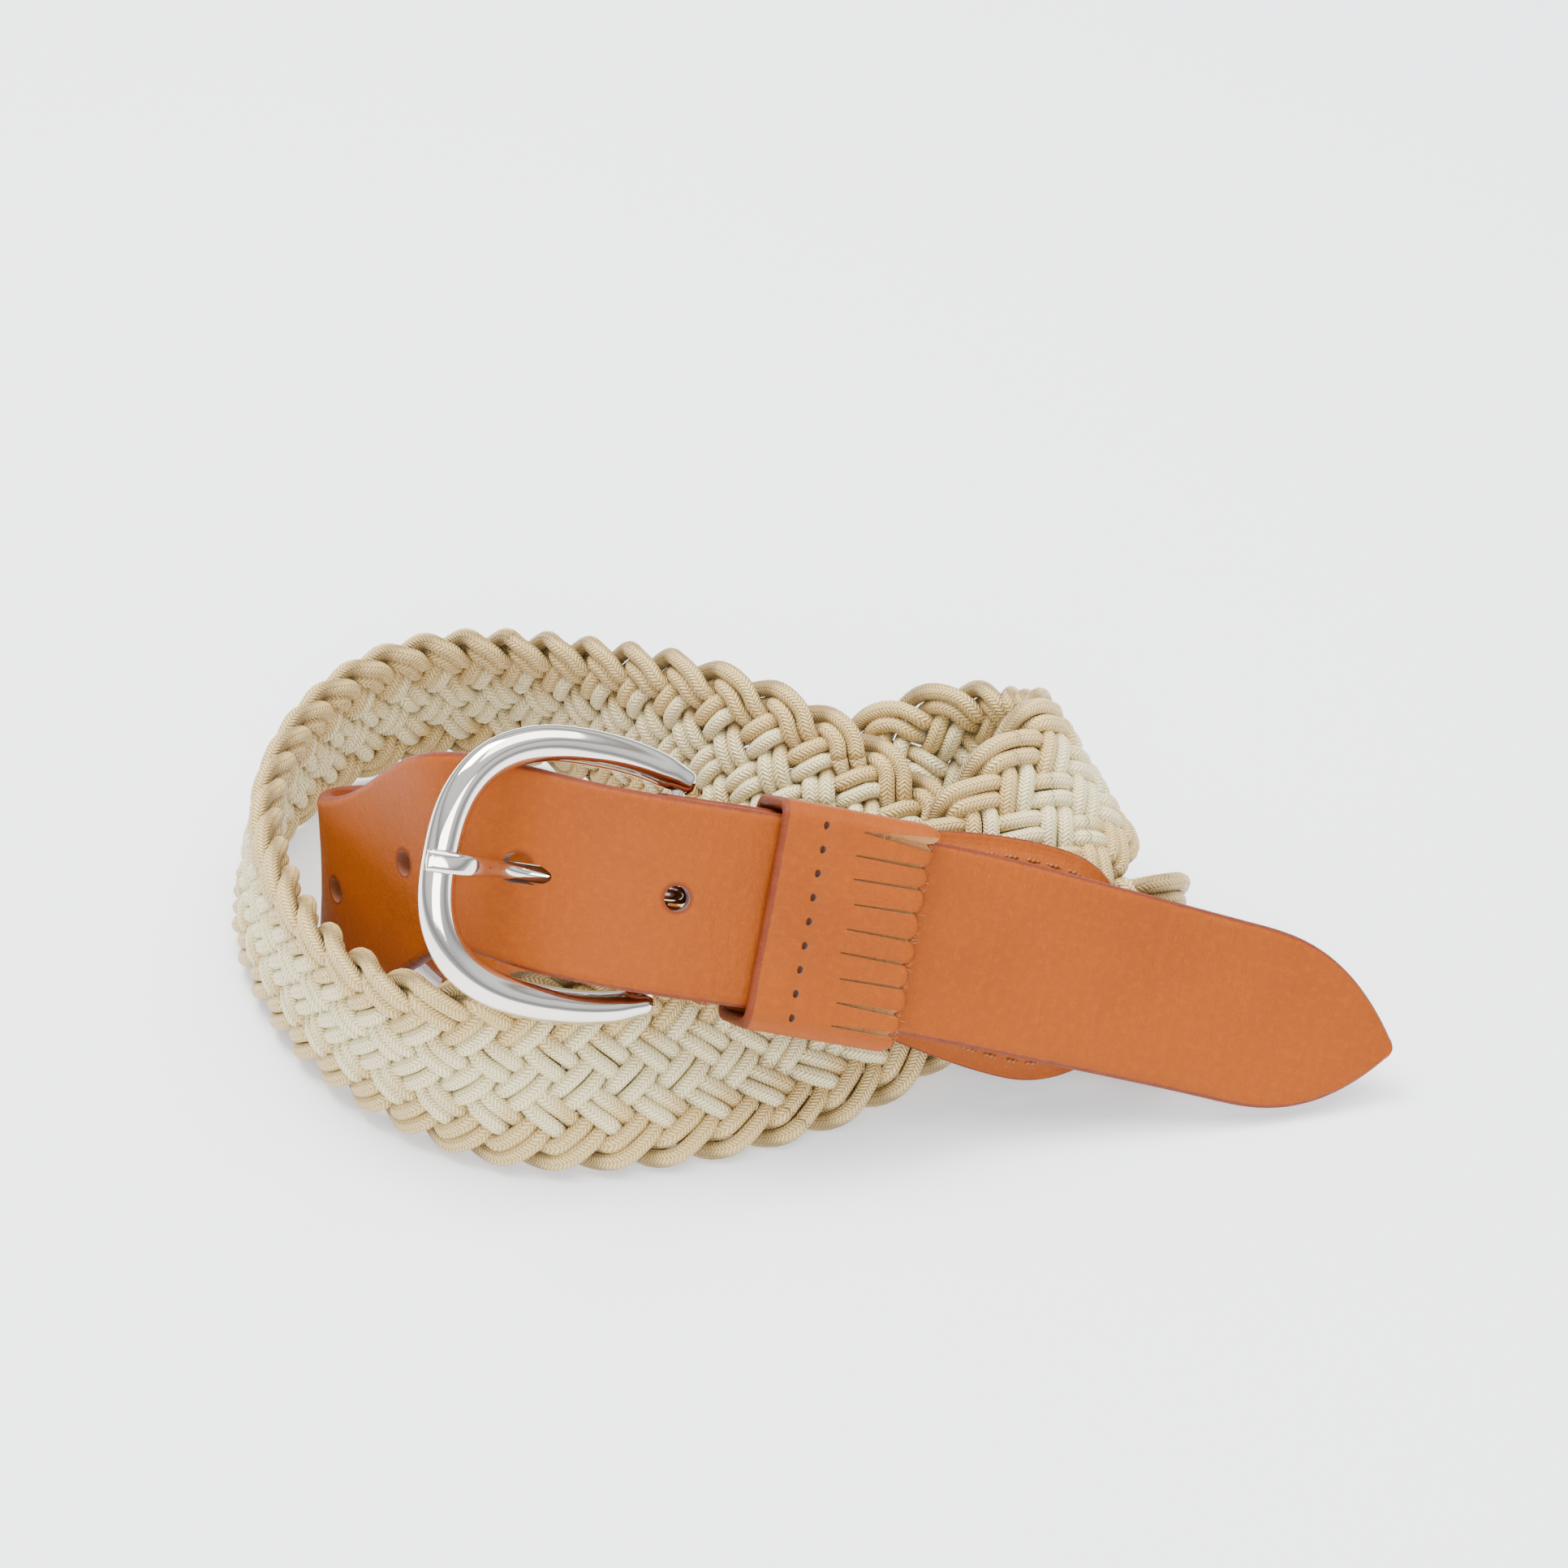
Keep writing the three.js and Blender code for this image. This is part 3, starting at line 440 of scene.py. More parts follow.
class Graph:
    """A small helper for node materials."""

    def __init__(self, name):
        self.material = bpy.data.materials.new(name)
        self.material.use_nodes = True
        self.tree = self.material.node_tree
        self.tree.nodes.clear()
        self.out = self.tree.nodes.new("ShaderNodeOutputMaterial")
        self.shader = self.tree.nodes.new("ShaderNodeBsdfPrincipled")
        self.tree.links.new(self.shader.outputs[0], self.out.inputs[0])

    def node(self, kind, inputs=None, **settings):
        n = self.tree.nodes.new(kind)
        for key, value in settings.items():
            setattr(n, key, value)
        for key, value in (inputs or {}).items():
            self.put(n.inputs[key], value)
        return n

    def put(self, socket, value):
        if isinstance(value, bpy.types.NodeSocket):
            self.tree.links.new(value, socket)
        elif value is not None:
            socket.default_value = value

    def math(self, operation, a, b=None, c=None, clamp=False):
        n = self.node("ShaderNodeMath", operation=operation, use_clamp=clamp)
        for i, value in enumerate((a, b, c)):
            self.put(n.inputs[i], value)
        return n.outputs[0]

    def times(self, a, b):
        return self.math("MULTIPLY", a, b)

    def plus(self, a, b):
        return self.math("ADD", a, b)

    def minus(self, a, b, clamp=False):
        return self.math("SUBTRACT", a, b, clamp=clamp)

    def mix(self, factor, a, b):
        n = self.node("ShaderNodeMix", data_type="RGBA", clamp_factor=True)
        self.put(n.inputs[0], factor)
        self.put(n.inputs[6], a)
        self.put(n.inputs[7], b)
        return n.outputs[2]

    def ramp(self, value, low, high):
        n = self.node("ShaderNodeMapRange", interpolation_type="SMOOTHSTEP")
        for i, v in enumerate((value, low, high, 0.0, 1.0)):
            self.put(n.inputs[i], v)
        return n.outputs[0]

    def attribute(self, name):
        return self.node("ShaderNodeAttribute", attribute_name=name).outputs["Fac"]

    def place(self, kind="UV", scale=(1, 1, 1)):
        """Texture coordinates, stretched."""
        coordinates = self.node("ShaderNodeTexCoord").outputs[kind]
        return self.node("ShaderNodeVectorMath", {0: coordinates, 1: scale}, operation="MULTIPLY").outputs[0]

    def split(self, vector):
        parts = self.node("ShaderNodeSeparateXYZ", {0: vector}).outputs
        return parts[0], parts[1]

    def noise(self, vector, scale, detail=3.0, roughness=0.5, distortion=0.0):
        n = self.node("ShaderNodeTexNoise", {"Vector": vector, "Scale": scale, "Detail": detail,
                                             "Roughness": roughness, "Distortion": distortion})
        return n.outputs["Fac"]

    def bump(self, height, distance, strength=1.0):
        return self.node("ShaderNodeBump", {"Height": height, "Distance": distance,
                                            "Strength": strength}).outputs[0]

    def set(self, **values):
        for key, value in values.items():
            self.put(self.shader.inputs[key.replace("_", " ")], value)
        return self.material


LEATHER = srgb(143, 66, 0)
LEATHER_DEEP = srgb(125, 55, 0)
LEATHER_LIGHT = srgb(168, 86, 6)
EDGE_PAINT = srgb(88, 32, 14)


def leather_material(name, holes=False, face=LEATHER, deep=LEATHER_DEEP, light=LEATHER_LIGHT):
    g = Graph(name)
    uv = g.place()
    rim = g.attribute("rim")
    broad = g.noise(uv, 0.045, 4, 0.55)
    fine = g.noise(uv, 0.8, 5, 0.6)
    pores = g.node("ShaderNodeTexVoronoi", {"Vector": uv, "Scale": 2.6, "Randomness": 1.0},
                   feature="DISTANCE_TO_EDGE").outputs["Distance"]
    cells = g.ramp(pores, 0.0, 0.16)
    specks = g.ramp(g.noise(uv, 3.2, 2, 0.5), 0.66, 0.74)
    colour = g.mix(g.times(g.ramp(broad, 0.35, 0.75), 0.45), face, deep)
    colour = g.mix(g.times(g.ramp(fine, 0.45, 0.75), 0.28), colour, light)
    colour = g.mix(g.times(g.minus(1.0, cells), 0.16), colour, deep)
    colour = g.mix(g.times(specks, 0.25), colour, deep)
    wander = g.math("MULTIPLY_ADD", g.noise(uv, 0.5, 3), 0.5, -0.25)
    edge = g.ramp(g.plus(rim, g.times(wander, 0.6)), 0.42, 0.72)
    creases = g.noise(g.place("UV", (0.55, 0.16, 1)), 1.0, 4, 0.6, 0.5)
    height = g.plus(g.times(cells, 0.45), g.times(fine, 0.8))
    height = g.plus(height, g.times(g.ramp(creases, 0.35, 0.65), 0.9))
    if holes:
        along, across = g.split(uv)
        first = from_tip(FIRST_HOLE + (HOLE_COUNT - 1) * HOLE_PITCH)
        s = g.minus(along, first - HOLE_PITCH / 2)
        turn = g.minus(g.math("MODULO", s, HOLE_PITCH), HOLE_PITCH / 2)
        away = g.math("SQRT", g.plus(g.math("POWER", turn, 2.0), g.math("POWER", across, 2.0)))
        inside = g.times(g.math("GREATER_THAN", s, 0.0), g.math("LESS_THAN", s, HOLE_COUNT * HOLE_PITCH))
        ring = g.times(g.ramp(away, HOLE_RADIUS + 0.85, HOLE_RADIUS + 0.05), inside)
        colour = g.mix(g.times(ring, 0.75), colour, EDGE_PAINT)
        height = g.minus(height, g.times(ring, 2.2))
    colour = g.mix(edge, colour, g.mix(g.noise(uv, 0.35, 3), EDGE_PAINT, srgb(122, 54, 22)))
    rough = g.math("MULTIPLY_ADD", fine, 0.22, 0.36)
    return g.set(Base_Color=colour, Roughness=rough, Specular_IOR_Level=0.18,
                 Normal=g.bump(height, 0.00011, 0.6))


def suede_material(name, colour_a, colour_b):
    g = Graph(name)
    uv = g.place()
    fibres = g.noise(uv, 4.0, 6, 0.7, 0.6)
    broad = g.noise(uv, 0.15, 3, 0.5)
    colour = g.mix(g.ramp(fibres, 0.3, 0.72), colour_b, colour_a)
    colour = g.mix(g.times(g.ramp(broad, 0.4, 0.7), 0.3), colour, colour_b)
    return g.set(Base_Color=colour, Roughness=0.9, Specular_IOR_Level=0.2, Sheen_Weight=0.25,
                 Sheen_Roughness=0.5, Normal=g.bump(fibres, 0.00018, 0.8))


def cord_material(name):
    """Round elastic cord: a sheath of fine threads that runs in zigzag ribs round the cord."""
    g = Graph(name)
    along, around = g.split(g.place())
    zigzag = g.math("PINGPONG", g.times(around, 4.0), 0.5)
    phase = g.plus(g.times(along, 1 / 0.56), g.times(zigzag, 2.3))
    rib = g.math("MULTIPLY_ADD", g.math("SINE", g.times(phase, 2 * math.pi)), 0.5, 0.5)
    spine = g.ramp(g.math("ABSOLUTE", g.minus(zigzag, 0.25)), 0.17, 0.25)
    fibre = g.noise(g.place("UV", (7.0, 40.0, 1)), 1.0, 3, 0.6)
    tone = g.attribute("tone")
    drift = g.math("MULTIPLY_ADD", g.noise(g.place("UV", (0.09, 0.5, 1)), 1.0, 2), 0.5, -0.25)
    tan = g.ramp(g.plus(tone, drift), 0.3, 0.75)
    base = g.mix(tan, srgb(208, 190, 134), srgb(184, 152, 90))
    # painted highlight: the raised ribs are coloured lighter, standing in for the sheath's gloss; the rib
    # pattern itself is the sheath's real weave
    painted_rib_highlight = g.mix(tan, srgb(254, 243, 200), srgb(234, 207, 146))
    rib_highlight_mask = g.minus(g.ramp(rib, 0.25, 0.9), g.times(spine, 0.45), clamp=True)
    colour = g.mix(rib_highlight_mask, base, painted_rib_highlight)
    colour = g.mix(g.times(g.ramp(fibre, 0.5, 0.8), 0.2), colour, srgb(252, 246, 222))
    # painted shade: the cords' lower sides and the gaps between cords are darkened where shadow falls
    colour = g.mix(g.times(g.attribute("painted_crevice_shade"), 0.8), colour, srgb(122, 98, 56))
    height = g.minus(g.plus(rib, g.times(fibre, 0.3)), g.times(spine, 0.6))
    return g.set(Base_Color=colour, Roughness=0.42, Specular_IOR_Level=0.5,
                 Normal=g.bump(height, 0.00016, 1.0))


def thread_material(name):
    g = Graph(name)
    uv = g.place()
    along, around = g.split(uv)
    twist = g.math("SINE", g.times(g.plus(g.times(along, 1.3), around), 2 * math.pi))
    fuzz = g.noise(uv, 5.0, 3)
    colour = g.mix(g.ramp(twist, -0.9, 0.5), srgb(92, 42, 10), srgb(150, 80, 28))
    colour = g.mix(g.times(fuzz, 0.2), colour, srgb(186, 118, 58))
    return g.set(Base_Color=colour, Roughness=0.6, Specular_IOR_Level=0.3, Normal=g.bump(twist, 0.00006, 0.8))


def nickel_material(name):
    g = Graph(name)
    cloud = g.noise(g.place("Object"), 90.0, 3, 0.5)
    scratch = g.noise(g.place("Object", (900, 260, 2600)), 1.0, 2, 0.6)
    rough = g.plus(g.math("MULTIPLY_ADD", cloud, 0.05, 0.045), g.times(g.ramp(scratch, 0.62, 0.8), 0.10))
    colour = g.mix(cloud, srgb(240, 234, 224), srgb(226, 218, 206))
    return g.set(Base_Color=colour, Metallic=1.0, Roughness=rough,
                 Normal=g.bump(cloud, 0.00003, 0.25))


leather = leather_material("tan_leather")
billet_leather = leather_material("billet_leather", holes=True)
lining = leather_material("lining_leather", face=srgb(140, 68, 4), deep=srgb(116, 52, 3),
                          light=srgb(160, 86, 12))
suede = suede_material("suede_fibre", srgb(206, 150, 92), srgb(160, 108, 66))
raw_edge = suede_material("cut_leather", srgb(150, 88, 50), srgb(98, 50, 28))
elastic = cord_material("elastic_cord")
thread = thread_material("waxed_thread")
nickel = nickel_material("polished_nickel")

# ------------------------------------------------------------------ leather sheets


def leather_section(columns, dense):
    """A flat section with round edges: how far across the flat, the corner's direction, the face's side."""
    inner = np.sin(np.linspace(-1, 1, columns + 1) * math.pi / 2)
    inner = np.unique(np.round(np.concatenate([inner, dense, -np.asarray(dense)]), 5))
    corner = np.linspace(0, math.pi / 2, 5)
    half = [(f, 0, -1, -1) for f in inner]
    half += [(1, math.sin(a), -math.cos(a), -1) for a in corner[1:]]
    half += [(1, math.cos(a), math.sin(a), 1) for a in corner[:-1]]
    half = np.array(half, float)
    return np.concatenate([half, -half]).T


def leather_rings(s, half_width, thickness, lift, section, groove=0.0, frames=None):
    """Rings of a leather sheet. lift(s, across, from_edge) gives the sheet's mid-surface height."""
    s = np.asarray(s, float)
    p, t, w, n = belt(s) if frames is None else frames
    flat, ca, cb, side = section
    hw = np.asarray(half_width, float)[:, None]
    th = np.broadcast_to(np.asarray(thickness, float), s.shape)[:, None]
    radius = np.minimum(0.46 * th, 0.8 * hw)
    across = flat * (hw - radius) + radius * ca
    through = side * (th / 2 - radius) + radius * cb
    slope = np.abs(np.gradient(hw[:, 0], s))
    from_edge = (hw - np.abs(across)) / np.sqrt(1 + slope[:, None] ** 2)
    if groove:
        through = through - side * groove * np.exp(-((from_edge - 2.0) / 0.32) ** 2)
    out = through + lift(s[:, None], across, from_edge)
    rings = p[:, None, :] + w[:, None, :] * across[..., None] + n[:, None, :] * out[..., None]
    rim = np.clip(1 - (from_edge - 0.15), 0, 1)
    rim = np.maximum(rim * 0.55, np.broadcast_to(np.abs(ca), rim.shape))
    return rings, across, rim


def leather_object(name, s, half_width, thickness, lift, material, columns):
    section = leather_section(columns, (0.9, 0.94, 0.97))
    rings, across, rim = leather_rings(s, half_width, thickness, lift, section)
    v = np.concatenate([across, across[:, :1]], axis=1)
    return solid(name, rings, material, ring_uv(s, v), {"rim": rim})


def paddle_half_width(s, neck, fullest, end, neck_half, full_half):
    s = np.asarray(s, float)
    f = np.clip((s - neck) / (fullest - neck), 0, 1)
    swell = neck_half + (full_half - neck_half) * np.sin(f * math.pi / 2) ** 1.5
    d = np.clip((s - fullest) / (end - fullest), 0, 0.9999)
    return np.where(s <= fullest, swell,
                    np.maximum(full_half * (1 - d ** PADDLE_ROUNDNESS) ** (1 / PADDLE_ROUNDNESS), 0.5))


def tab_half(s):
    return paddle_half_width(s, TAB_NECK, TAB_FULLEST, TAB_LENGTH, STRAP_WIDTH / 2, TAB_MAX_WIDTH / 2)


def joint_half(s):
    return paddle_half_width(-np.asarray(s, float), -JOINT_S, -(JOINT_END + JOINT_ROUND), -JOINT_END,
                             STRAP_WIDTH / 2, JOINT_MAX_WIDTH / 2)


def toward(a, b, count):
    """Values from a to b, closer together near b."""
    return a + (b - a) * np.sin(np.linspace(0, math.pi / 2, count))


FOLD_RADIUS = BAR_RADIUS + 0.3 + TAB_PLY / 2 + 0.1
TAB_OFFSET = BRAID_PLY_GAP + TAB_PLY / 2


def leg_offset(s):
    return FOLD_RADIUS + (TAB_OFFSET - FOLD_RADIUS) * smooth(4, BRAID_START - 2, s)


def pressed_edge(level, from_edge, share):
    """A ply's height: its level in the middle, and down against the other ply along the edge."""
    pressed = smooth(5.0, 0.6, from_edge) * share
    return level * (1 - pressed) + (TAB_PLY / 2 + 0.06) * pressed


def tab_lift(s, across, from_edge):
    return pressed_edge(leg_offset(s), from_edge, smooth(8, 20, s))


def make_tab():
    section = leather_section(18, (0.72, 0.8, 0.85, 0.88, 0.91, 0.94, 0.97))
    legs = np.concatenate([np.arange(3, TAB_FULLEST, 1.5), toward(TAB_FULLEST, TAB_LENGTH - 0.02, 26)])
    outer, across, rim = leather_rings(legs, tab_half(legs), TAB_PLY, tab_lift, section, 0.16)
    p, t, w, n = belt(legs)
    inner, _, _ = leather_rings(legs, tab_half(legs), TAB_PLY, tab_lift, section, 0.16, (p, t, w, -n))
    turns = -math.pi / 2 - np.linspace(0, math.pi, 19)[1:-1]
    around = np.cos(turns)[:, None] * BAR_ALONG + np.sin(turns)[:, None] * BAR_OUT
    frames = (np.broadcast_to(BAR, around.shape), around, np.broadcast_to(BAR_UP, around.shape), around)
    fold, fa, fr = leather_rings(turns, np.full(len(turns), STRAP_WIDTH / 2), TAB_PLY,
                                 lambda s, a, e: FOLD_RADIUS + 0 * a, section, 0.0, frames)
    rings = np.concatenate([inner[::-1], fold, outer])
    u = np.concatenate([-legs[::-1], np.linspace(-2.5, 2.5, len(turns)), legs])
    v = np.concatenate([across[::-1], fa, across])
    v = np.concatenate([v, v[:, :1]], axis=1)
    rim = np.concatenate([rim[::-1], fr, rim])
    obj = solid("tab_leather", rings, leather, ring_uv(u, v), {"rim": rim})
    slot_box = np.array([[x, y, z] for x in TAB_SLOT[0] for y in TAB_SLOT[1] for z in TAB_SLOT[2]])
    world = BAR + slot_box[:, :1] * BAR_ALONG + slot_box[:, 1:2] * BAR_UP + slot_box[:, 2:] * BAR_OUT
    cut(obj, world, BOX_FACES, raw_edge)
    return obj


def billet_half(s):
    d = from_tip(0) - np.asarray(s, float)
    full = STRAP_WIDTH / 2 - 0.8 * smooth(75, 22, d)
    tip = full * (1 - np.clip(1 - (d + 0.8) / (BILLET_TIP_TAPER + 3), 0, 1) ** BILLET_TIP_POWER)
    nose = np.where(d < 0.9, np.sqrt(2 * NOSE_RADIUS * np.maximum(d, 0.01)), STRAP_WIDTH)
    return np.maximum(np.minimum(tip, nose), 0.2)


JOINT_OFFSET = 2.3 + 0.45 + TAB_PLY / 2


def joint_blend(s):
    return smooth(BRAID_END, JOINT_S, s)


def billet_lift(s, across, from_edge):
    f = joint_blend(s)
    return pressed_edge(JOINT_OFFSET, from_edge, 1 - f) * (1 - f)


def backing_lift(s, across, from_edge):
    f = joint_blend(s)
    under = BILLET_THICKNESS / 2 + 0.08 + TAB_PLY / 2
    return -pressed_edge(JOINT_OFFSET * (1 - f) + under * f, from_edge, 1 - f)


def prong_points():
    loop = BAR_RADIUS + 0.3 + PRONG_RADIUS
    turns = np.radians(165 + np.arange(10) * 31.5)
    flat = [(loop * math.cos(a), loop * math.sin(a)) for a in turns] + list(PRONG_LINE)
    return np.array([BAR + a * BAR_ALONG + o * BAR_OUT for a, o in flat])


def make_billet():
    start = np.flip(toward(JOINT_END + JOINT_ROUND, JOINT_END + 0.02, 24))
    middle = np.arange(JOINT_END + JOINT_ROUND, from_tip(BILLET_TIP_TAPER + 4), BILLET_STEP)[1:]
    tip = toward(from_tip(BILLET_TIP_TAPER + 4), from_tip(0.03), 48)
    s = np.concatenate([start, middle, tip])
    half = np.where(s < JOINT_S, joint_half(s), billet_half(s))
    thickness = TAB_PLY + (BILLET_THICKNESS - TAB_PLY) * joint_blend(s)
    obj = leather_object("billet_leather", s, half, thickness, billet_lift, [billet_leather, raw_edge], 20)
    verts, faces = [], []
    for i in range(HOLE_COUNT):
        p, t, w, n = belt_at(from_tip(FIRST_HOLE + i * HOLE_PITCH))
        angle = circle(28)
        ring = np.cos(angle)[:, None] * w * HOLE_RADIUS + np.sin(angle)[:, None] * t * -HOLE_RADIUS
        stretch = 1.0 if i != 1 else 1.35
        ring = ring @ (np.eye(3) + (stretch - 1) * np.outer(t, t))
        base = len(verts)
        verts += list(p + ring - n * 6) + list(p + ring + n * 6)
        faces += ring_faces(2, 28, base=base)
    cut(obj, verts, faces, raw_edge)
    along = prong_points()[-len(PRONG_LINE):]
    line = catmull(along[:-1], 6)
    way = PRONG_RADIUS + PRONG_PLAY
    sleeve = tube(line, (way, way), unit(np.cross(BAR_UP, np.gradient(line, axis=0)) * -1), sides=20)
    local = sleeve.reshape(-1, 3) - BAR
    along, up, out = local @ BAR_ALONG, local @ BAR_UP, local @ BAR_OUT
    for degrees in range(PRONG_FREEDOM + 1):
        c, s = math.cos(math.radians(degrees)), math.sin(math.radians(degrees))
        turned = BAR + np.outer(along * c + out * s, BAR_ALONG) + np.outer(up, BAR_UP) \
            + np.outer(out * c - along * s, BAR_OUT)
        cut(obj, turned, ring_faces(*sleeve.shape[:2]), raw_edge)
    return obj


def make_backing():
    start = np.flip(toward(JOINT_END + JOINT_ROUND, JOINT_END + 0.02, 24))
    s = np.concatenate([start, np.arange(JOINT_END + JOINT_ROUND, JOINT_S, BILLET_STEP)[1:]])
    return leather_object("joint_lining", s, joint_half(s), TAB_PLY, backing_lift, lining, 18)


# ------------------------------------------------------------------ stitching


def stitches(name, path, normals, length=2.7, pitch=3.5):
    """Separate stitches along a line of points, each rising out of the leather and diving back in."""
    seg = distances(path)
    count = int(seg[-1] / pitch)
    bundle = Bundle()
    for i in range(count):
        f = np.linspace(0, 1, 11)
        at = (i + 0.5) * seg[-1] / count + (f - 0.5) * length
        centre = np.stack([np.interp(at, seg, path[:, k]) for k in range(3)], -1)
        up = unit(np.stack([np.interp(at, seg, normals[:, k]) for k in range(3)], -1))
        centre = centre + up * (0.30 * np.sin(f * math.pi) ** 0.7 - 0.22)[:, None]
        fat = STITCH_RADIUS * (0.45 + 0.55 * np.sin(f * math.pi) ** 0.5)
        bundle.add(tube(centre, np.stack([fat, fat * 0.85], -1), up, sides=10), at, np.linspace(0, 1, 11))
    return bundle.made(name, thread)


def outline_path(half, s_values, lift, side):
    """A seam's line inside a paddle's outline, on its front (side 1) or back (side -1) face."""
    s = np.concatenate([s_values, s_values[::-1]])
    a = np.concatenate([-half(s_values), half(s_values)[::-1]])
    line = np.stack([s, a], -1)
    d = unit(np.gradient(line, axis=0) + 1e-9)
    centre = np.array([s_values.mean(), 0])
    normal = np.stack([-d[:, 1], d[:, 0]], -1)
    inward = np.sign(np.sum(normal * (centre - line), axis=1, keepdims=True))
    line = line + normal * inward * SEAM_INSET
    seg = distances(line)
    at = np.linspace(0, seg[-1], 240)
    s, a = np.interp(at, seg, line[:, 0]), np.interp(at, seg, line[:, 1])
    p, t, w, n = belt(s)
    level = lift(s, a, np.full(len(s), SEAM_INSET)) + side * TAB_PLY / 2
    return p + w * a[:, None] + n * level[:, None], n * side


# ------------------------------------------------------------------ metal


def make_frame():
    steps = 18
    f = np.linspace(0, 1, steps + 1)[1:]
    ease = f ** 2.2
    leg_along = FRAME_BOW_CENTRE + (LEG_END_OVERHANG - 1.4 - FRAME_BOW_CENTRE) * f
    leg_up = FRAME_HALF_SPAN - (FRAME_HALF_SPAN - FRAME_LEG_END + LEG_HOOK) * ease
    leg_scale = (1 - (1 - LEG_END_SCALE) * f) * (1 - 0.15 * smooth(0.72, 1.0, f))
    angle = -math.pi / 2 - np.linspace(0, math.pi, 73)

    def square(v):
        return np.sign(v) * np.abs(v) ** (2 / FRAME_BOW_SQUARENESS)
    bow = np.stack([FRAME_BOW_CENTRE + FRAME_BOW_DEPTH * square(np.cos(angle)),
                    FRAME_HALF_SPAN * square(np.sin(angle))], -1)
    lower = np.stack([leg_along, -leg_up], -1)[::-1]
    upper = np.stack([leg_along, leg_up], -1)
    line = np.concatenate([lower, bow, upper])
    scale = np.concatenate([leg_scale[::-1], np.ones(len(bow)), leg_scale])
    # even spacing keeps the bow's shading smooth
    seg = distances(line)
    at = np.linspace(0, seg[-1], 150)
    line = np.stack([np.interp(at, seg, line[:, 0]), np.interp(at, seg, line[:, 1])], -1)
    relax(line, 6)
    scale = np.interp(at, seg, scale)
    local = np.column_stack([line, np.zeros(len(line))])
    rings = tube(local, np.stack([FRAME_HALF_WIDTH * scale, FRAME_HALF_DEPTH * scale], -1),
                 np.array([0.0, 0.0, 1.0]), sides=32)
    ends = unit(np.gradient(local, axis=0))
    rings = domed(rings, (-ends[0], ends[-1]), (1.6, 1.6), 7)
    skew, tilt = math.radians(-FRAME_SKEW), math.radians(FRAME_TILT)
    turn = np.array([[math.cos(skew), -math.sin(skew), 0], [math.sin(skew), math.cos(skew), 0], [0, 0, 1]]) \
        @ np.array([[math.cos(tilt), 0, math.sin(tilt)], [0, 1, 0], [-math.sin(tilt), 0, math.cos(tilt)]])
    world = BAR + (rings.reshape(-1, 3) @ turn.T) @ np.array([BAR_ALONG, BAR_UP, BAR_OUT])
    obj = new_object("frame_metal", world, ring_faces(*rings.shape[:2]), nickel)
    line = catmull(prong_points()[-4:], 8)
    beyond = line[-1] + unit(line[-1] - line[-2]) * 3.0
    line = np.vstack([line, beyond])
    up = unit(np.cross(np.gradient(line, axis=0), BAR_UP))
    up = up * np.sign(up @ BAR_OUT)[:, None]
    notch = tube(line, (PRONG_RADIUS * 1.2 + 0.15, PRONG_RADIUS + 0.1), up, sides=24, squares=3.2)
    cut(obj, notch.reshape(-1, 3), ring_faces(*notch.shape[:2]), nickel)
    sharpen(obj, 35)
    return obj


def make_bar():
    half = FRAME_LEG_END - LEG_HOOK
    line = BAR + np.linspace(-half, half, 9)[:, None] * BAR_UP
    rings = tube(line, (BAR_RADIUS, BAR_RADIUS), BAR_OUT, sides=32)
    rings = domed(rings, (-BAR_UP, BAR_UP), (0.35, 0.35), 4)
    return solid("bar_metal", rings, nickel)


def make_prong():
    line = catmull(prong_points(), 9)
    relax(line, 4)
    up = unit(np.cross(np.gradient(line, axis=0), BAR_UP))
    f = np.linspace(0, 1, len(line))
    tip = smooth(0.80, 0.92, f)
    across = PRONG_RADIUS * (1 + 0.2 * tip)
    through = PRONG_RADIUS * (1 - 0.08 * tip)
    rings = tube(line, np.stack([across, through], -1), up, sides=24, squares=2 + 2.2 * tip)
    ends = unit(np.gradient(line, axis=0))
    rings = domed(rings, (-ends[0], ends[-1]), (0.3, 0.35), 4)
    return solid("prong_metal", rings, nickel)


# ------------------------------------------------------------------ keeper


def keeper_loop():
    """Mid-line of the keeper's leather round the strap, as (up, out) points with outward normals."""
    r = 2.3
    half = KEEPER_INNER_HALF + KEEPER_LEATHER / 2
    low, high = KEEPER_BACK - KEEPER_LEATHER / 2, KEEPER_FRONT + KEEPER_LEATHER / 2
    corners = [((half - r, low + r), -90), ((half - r, high - r), 0),
               ((-half + r, high - r), 90), ((-half + r, low + r), 180)]
    points = []
    for (cx, cy), begin in corners:
        for a in np.radians(begin + np.linspace(0, 90, 9)):
            points.append((cx + r * math.cos(a), cy + r * math.sin(a)))
    points = np.array(points + points[:1])
    seg = distances(points)
    at = np.linspace(0, seg[-1], 261)[:-1]
    loop = np.stack([np.interp(at, seg, points[:, 0]), np.interp(at, seg, points[:, 1])], -1)
    loop[:, 0] += KEEPER_SHIFT
    d = np.roll(loop, -1, axis=0) - np.roll(loop, 1, axis=0)
    normal = unit(np.stack([d[:, 1], -d[:, 0]], -1))
    return loop, normal, at


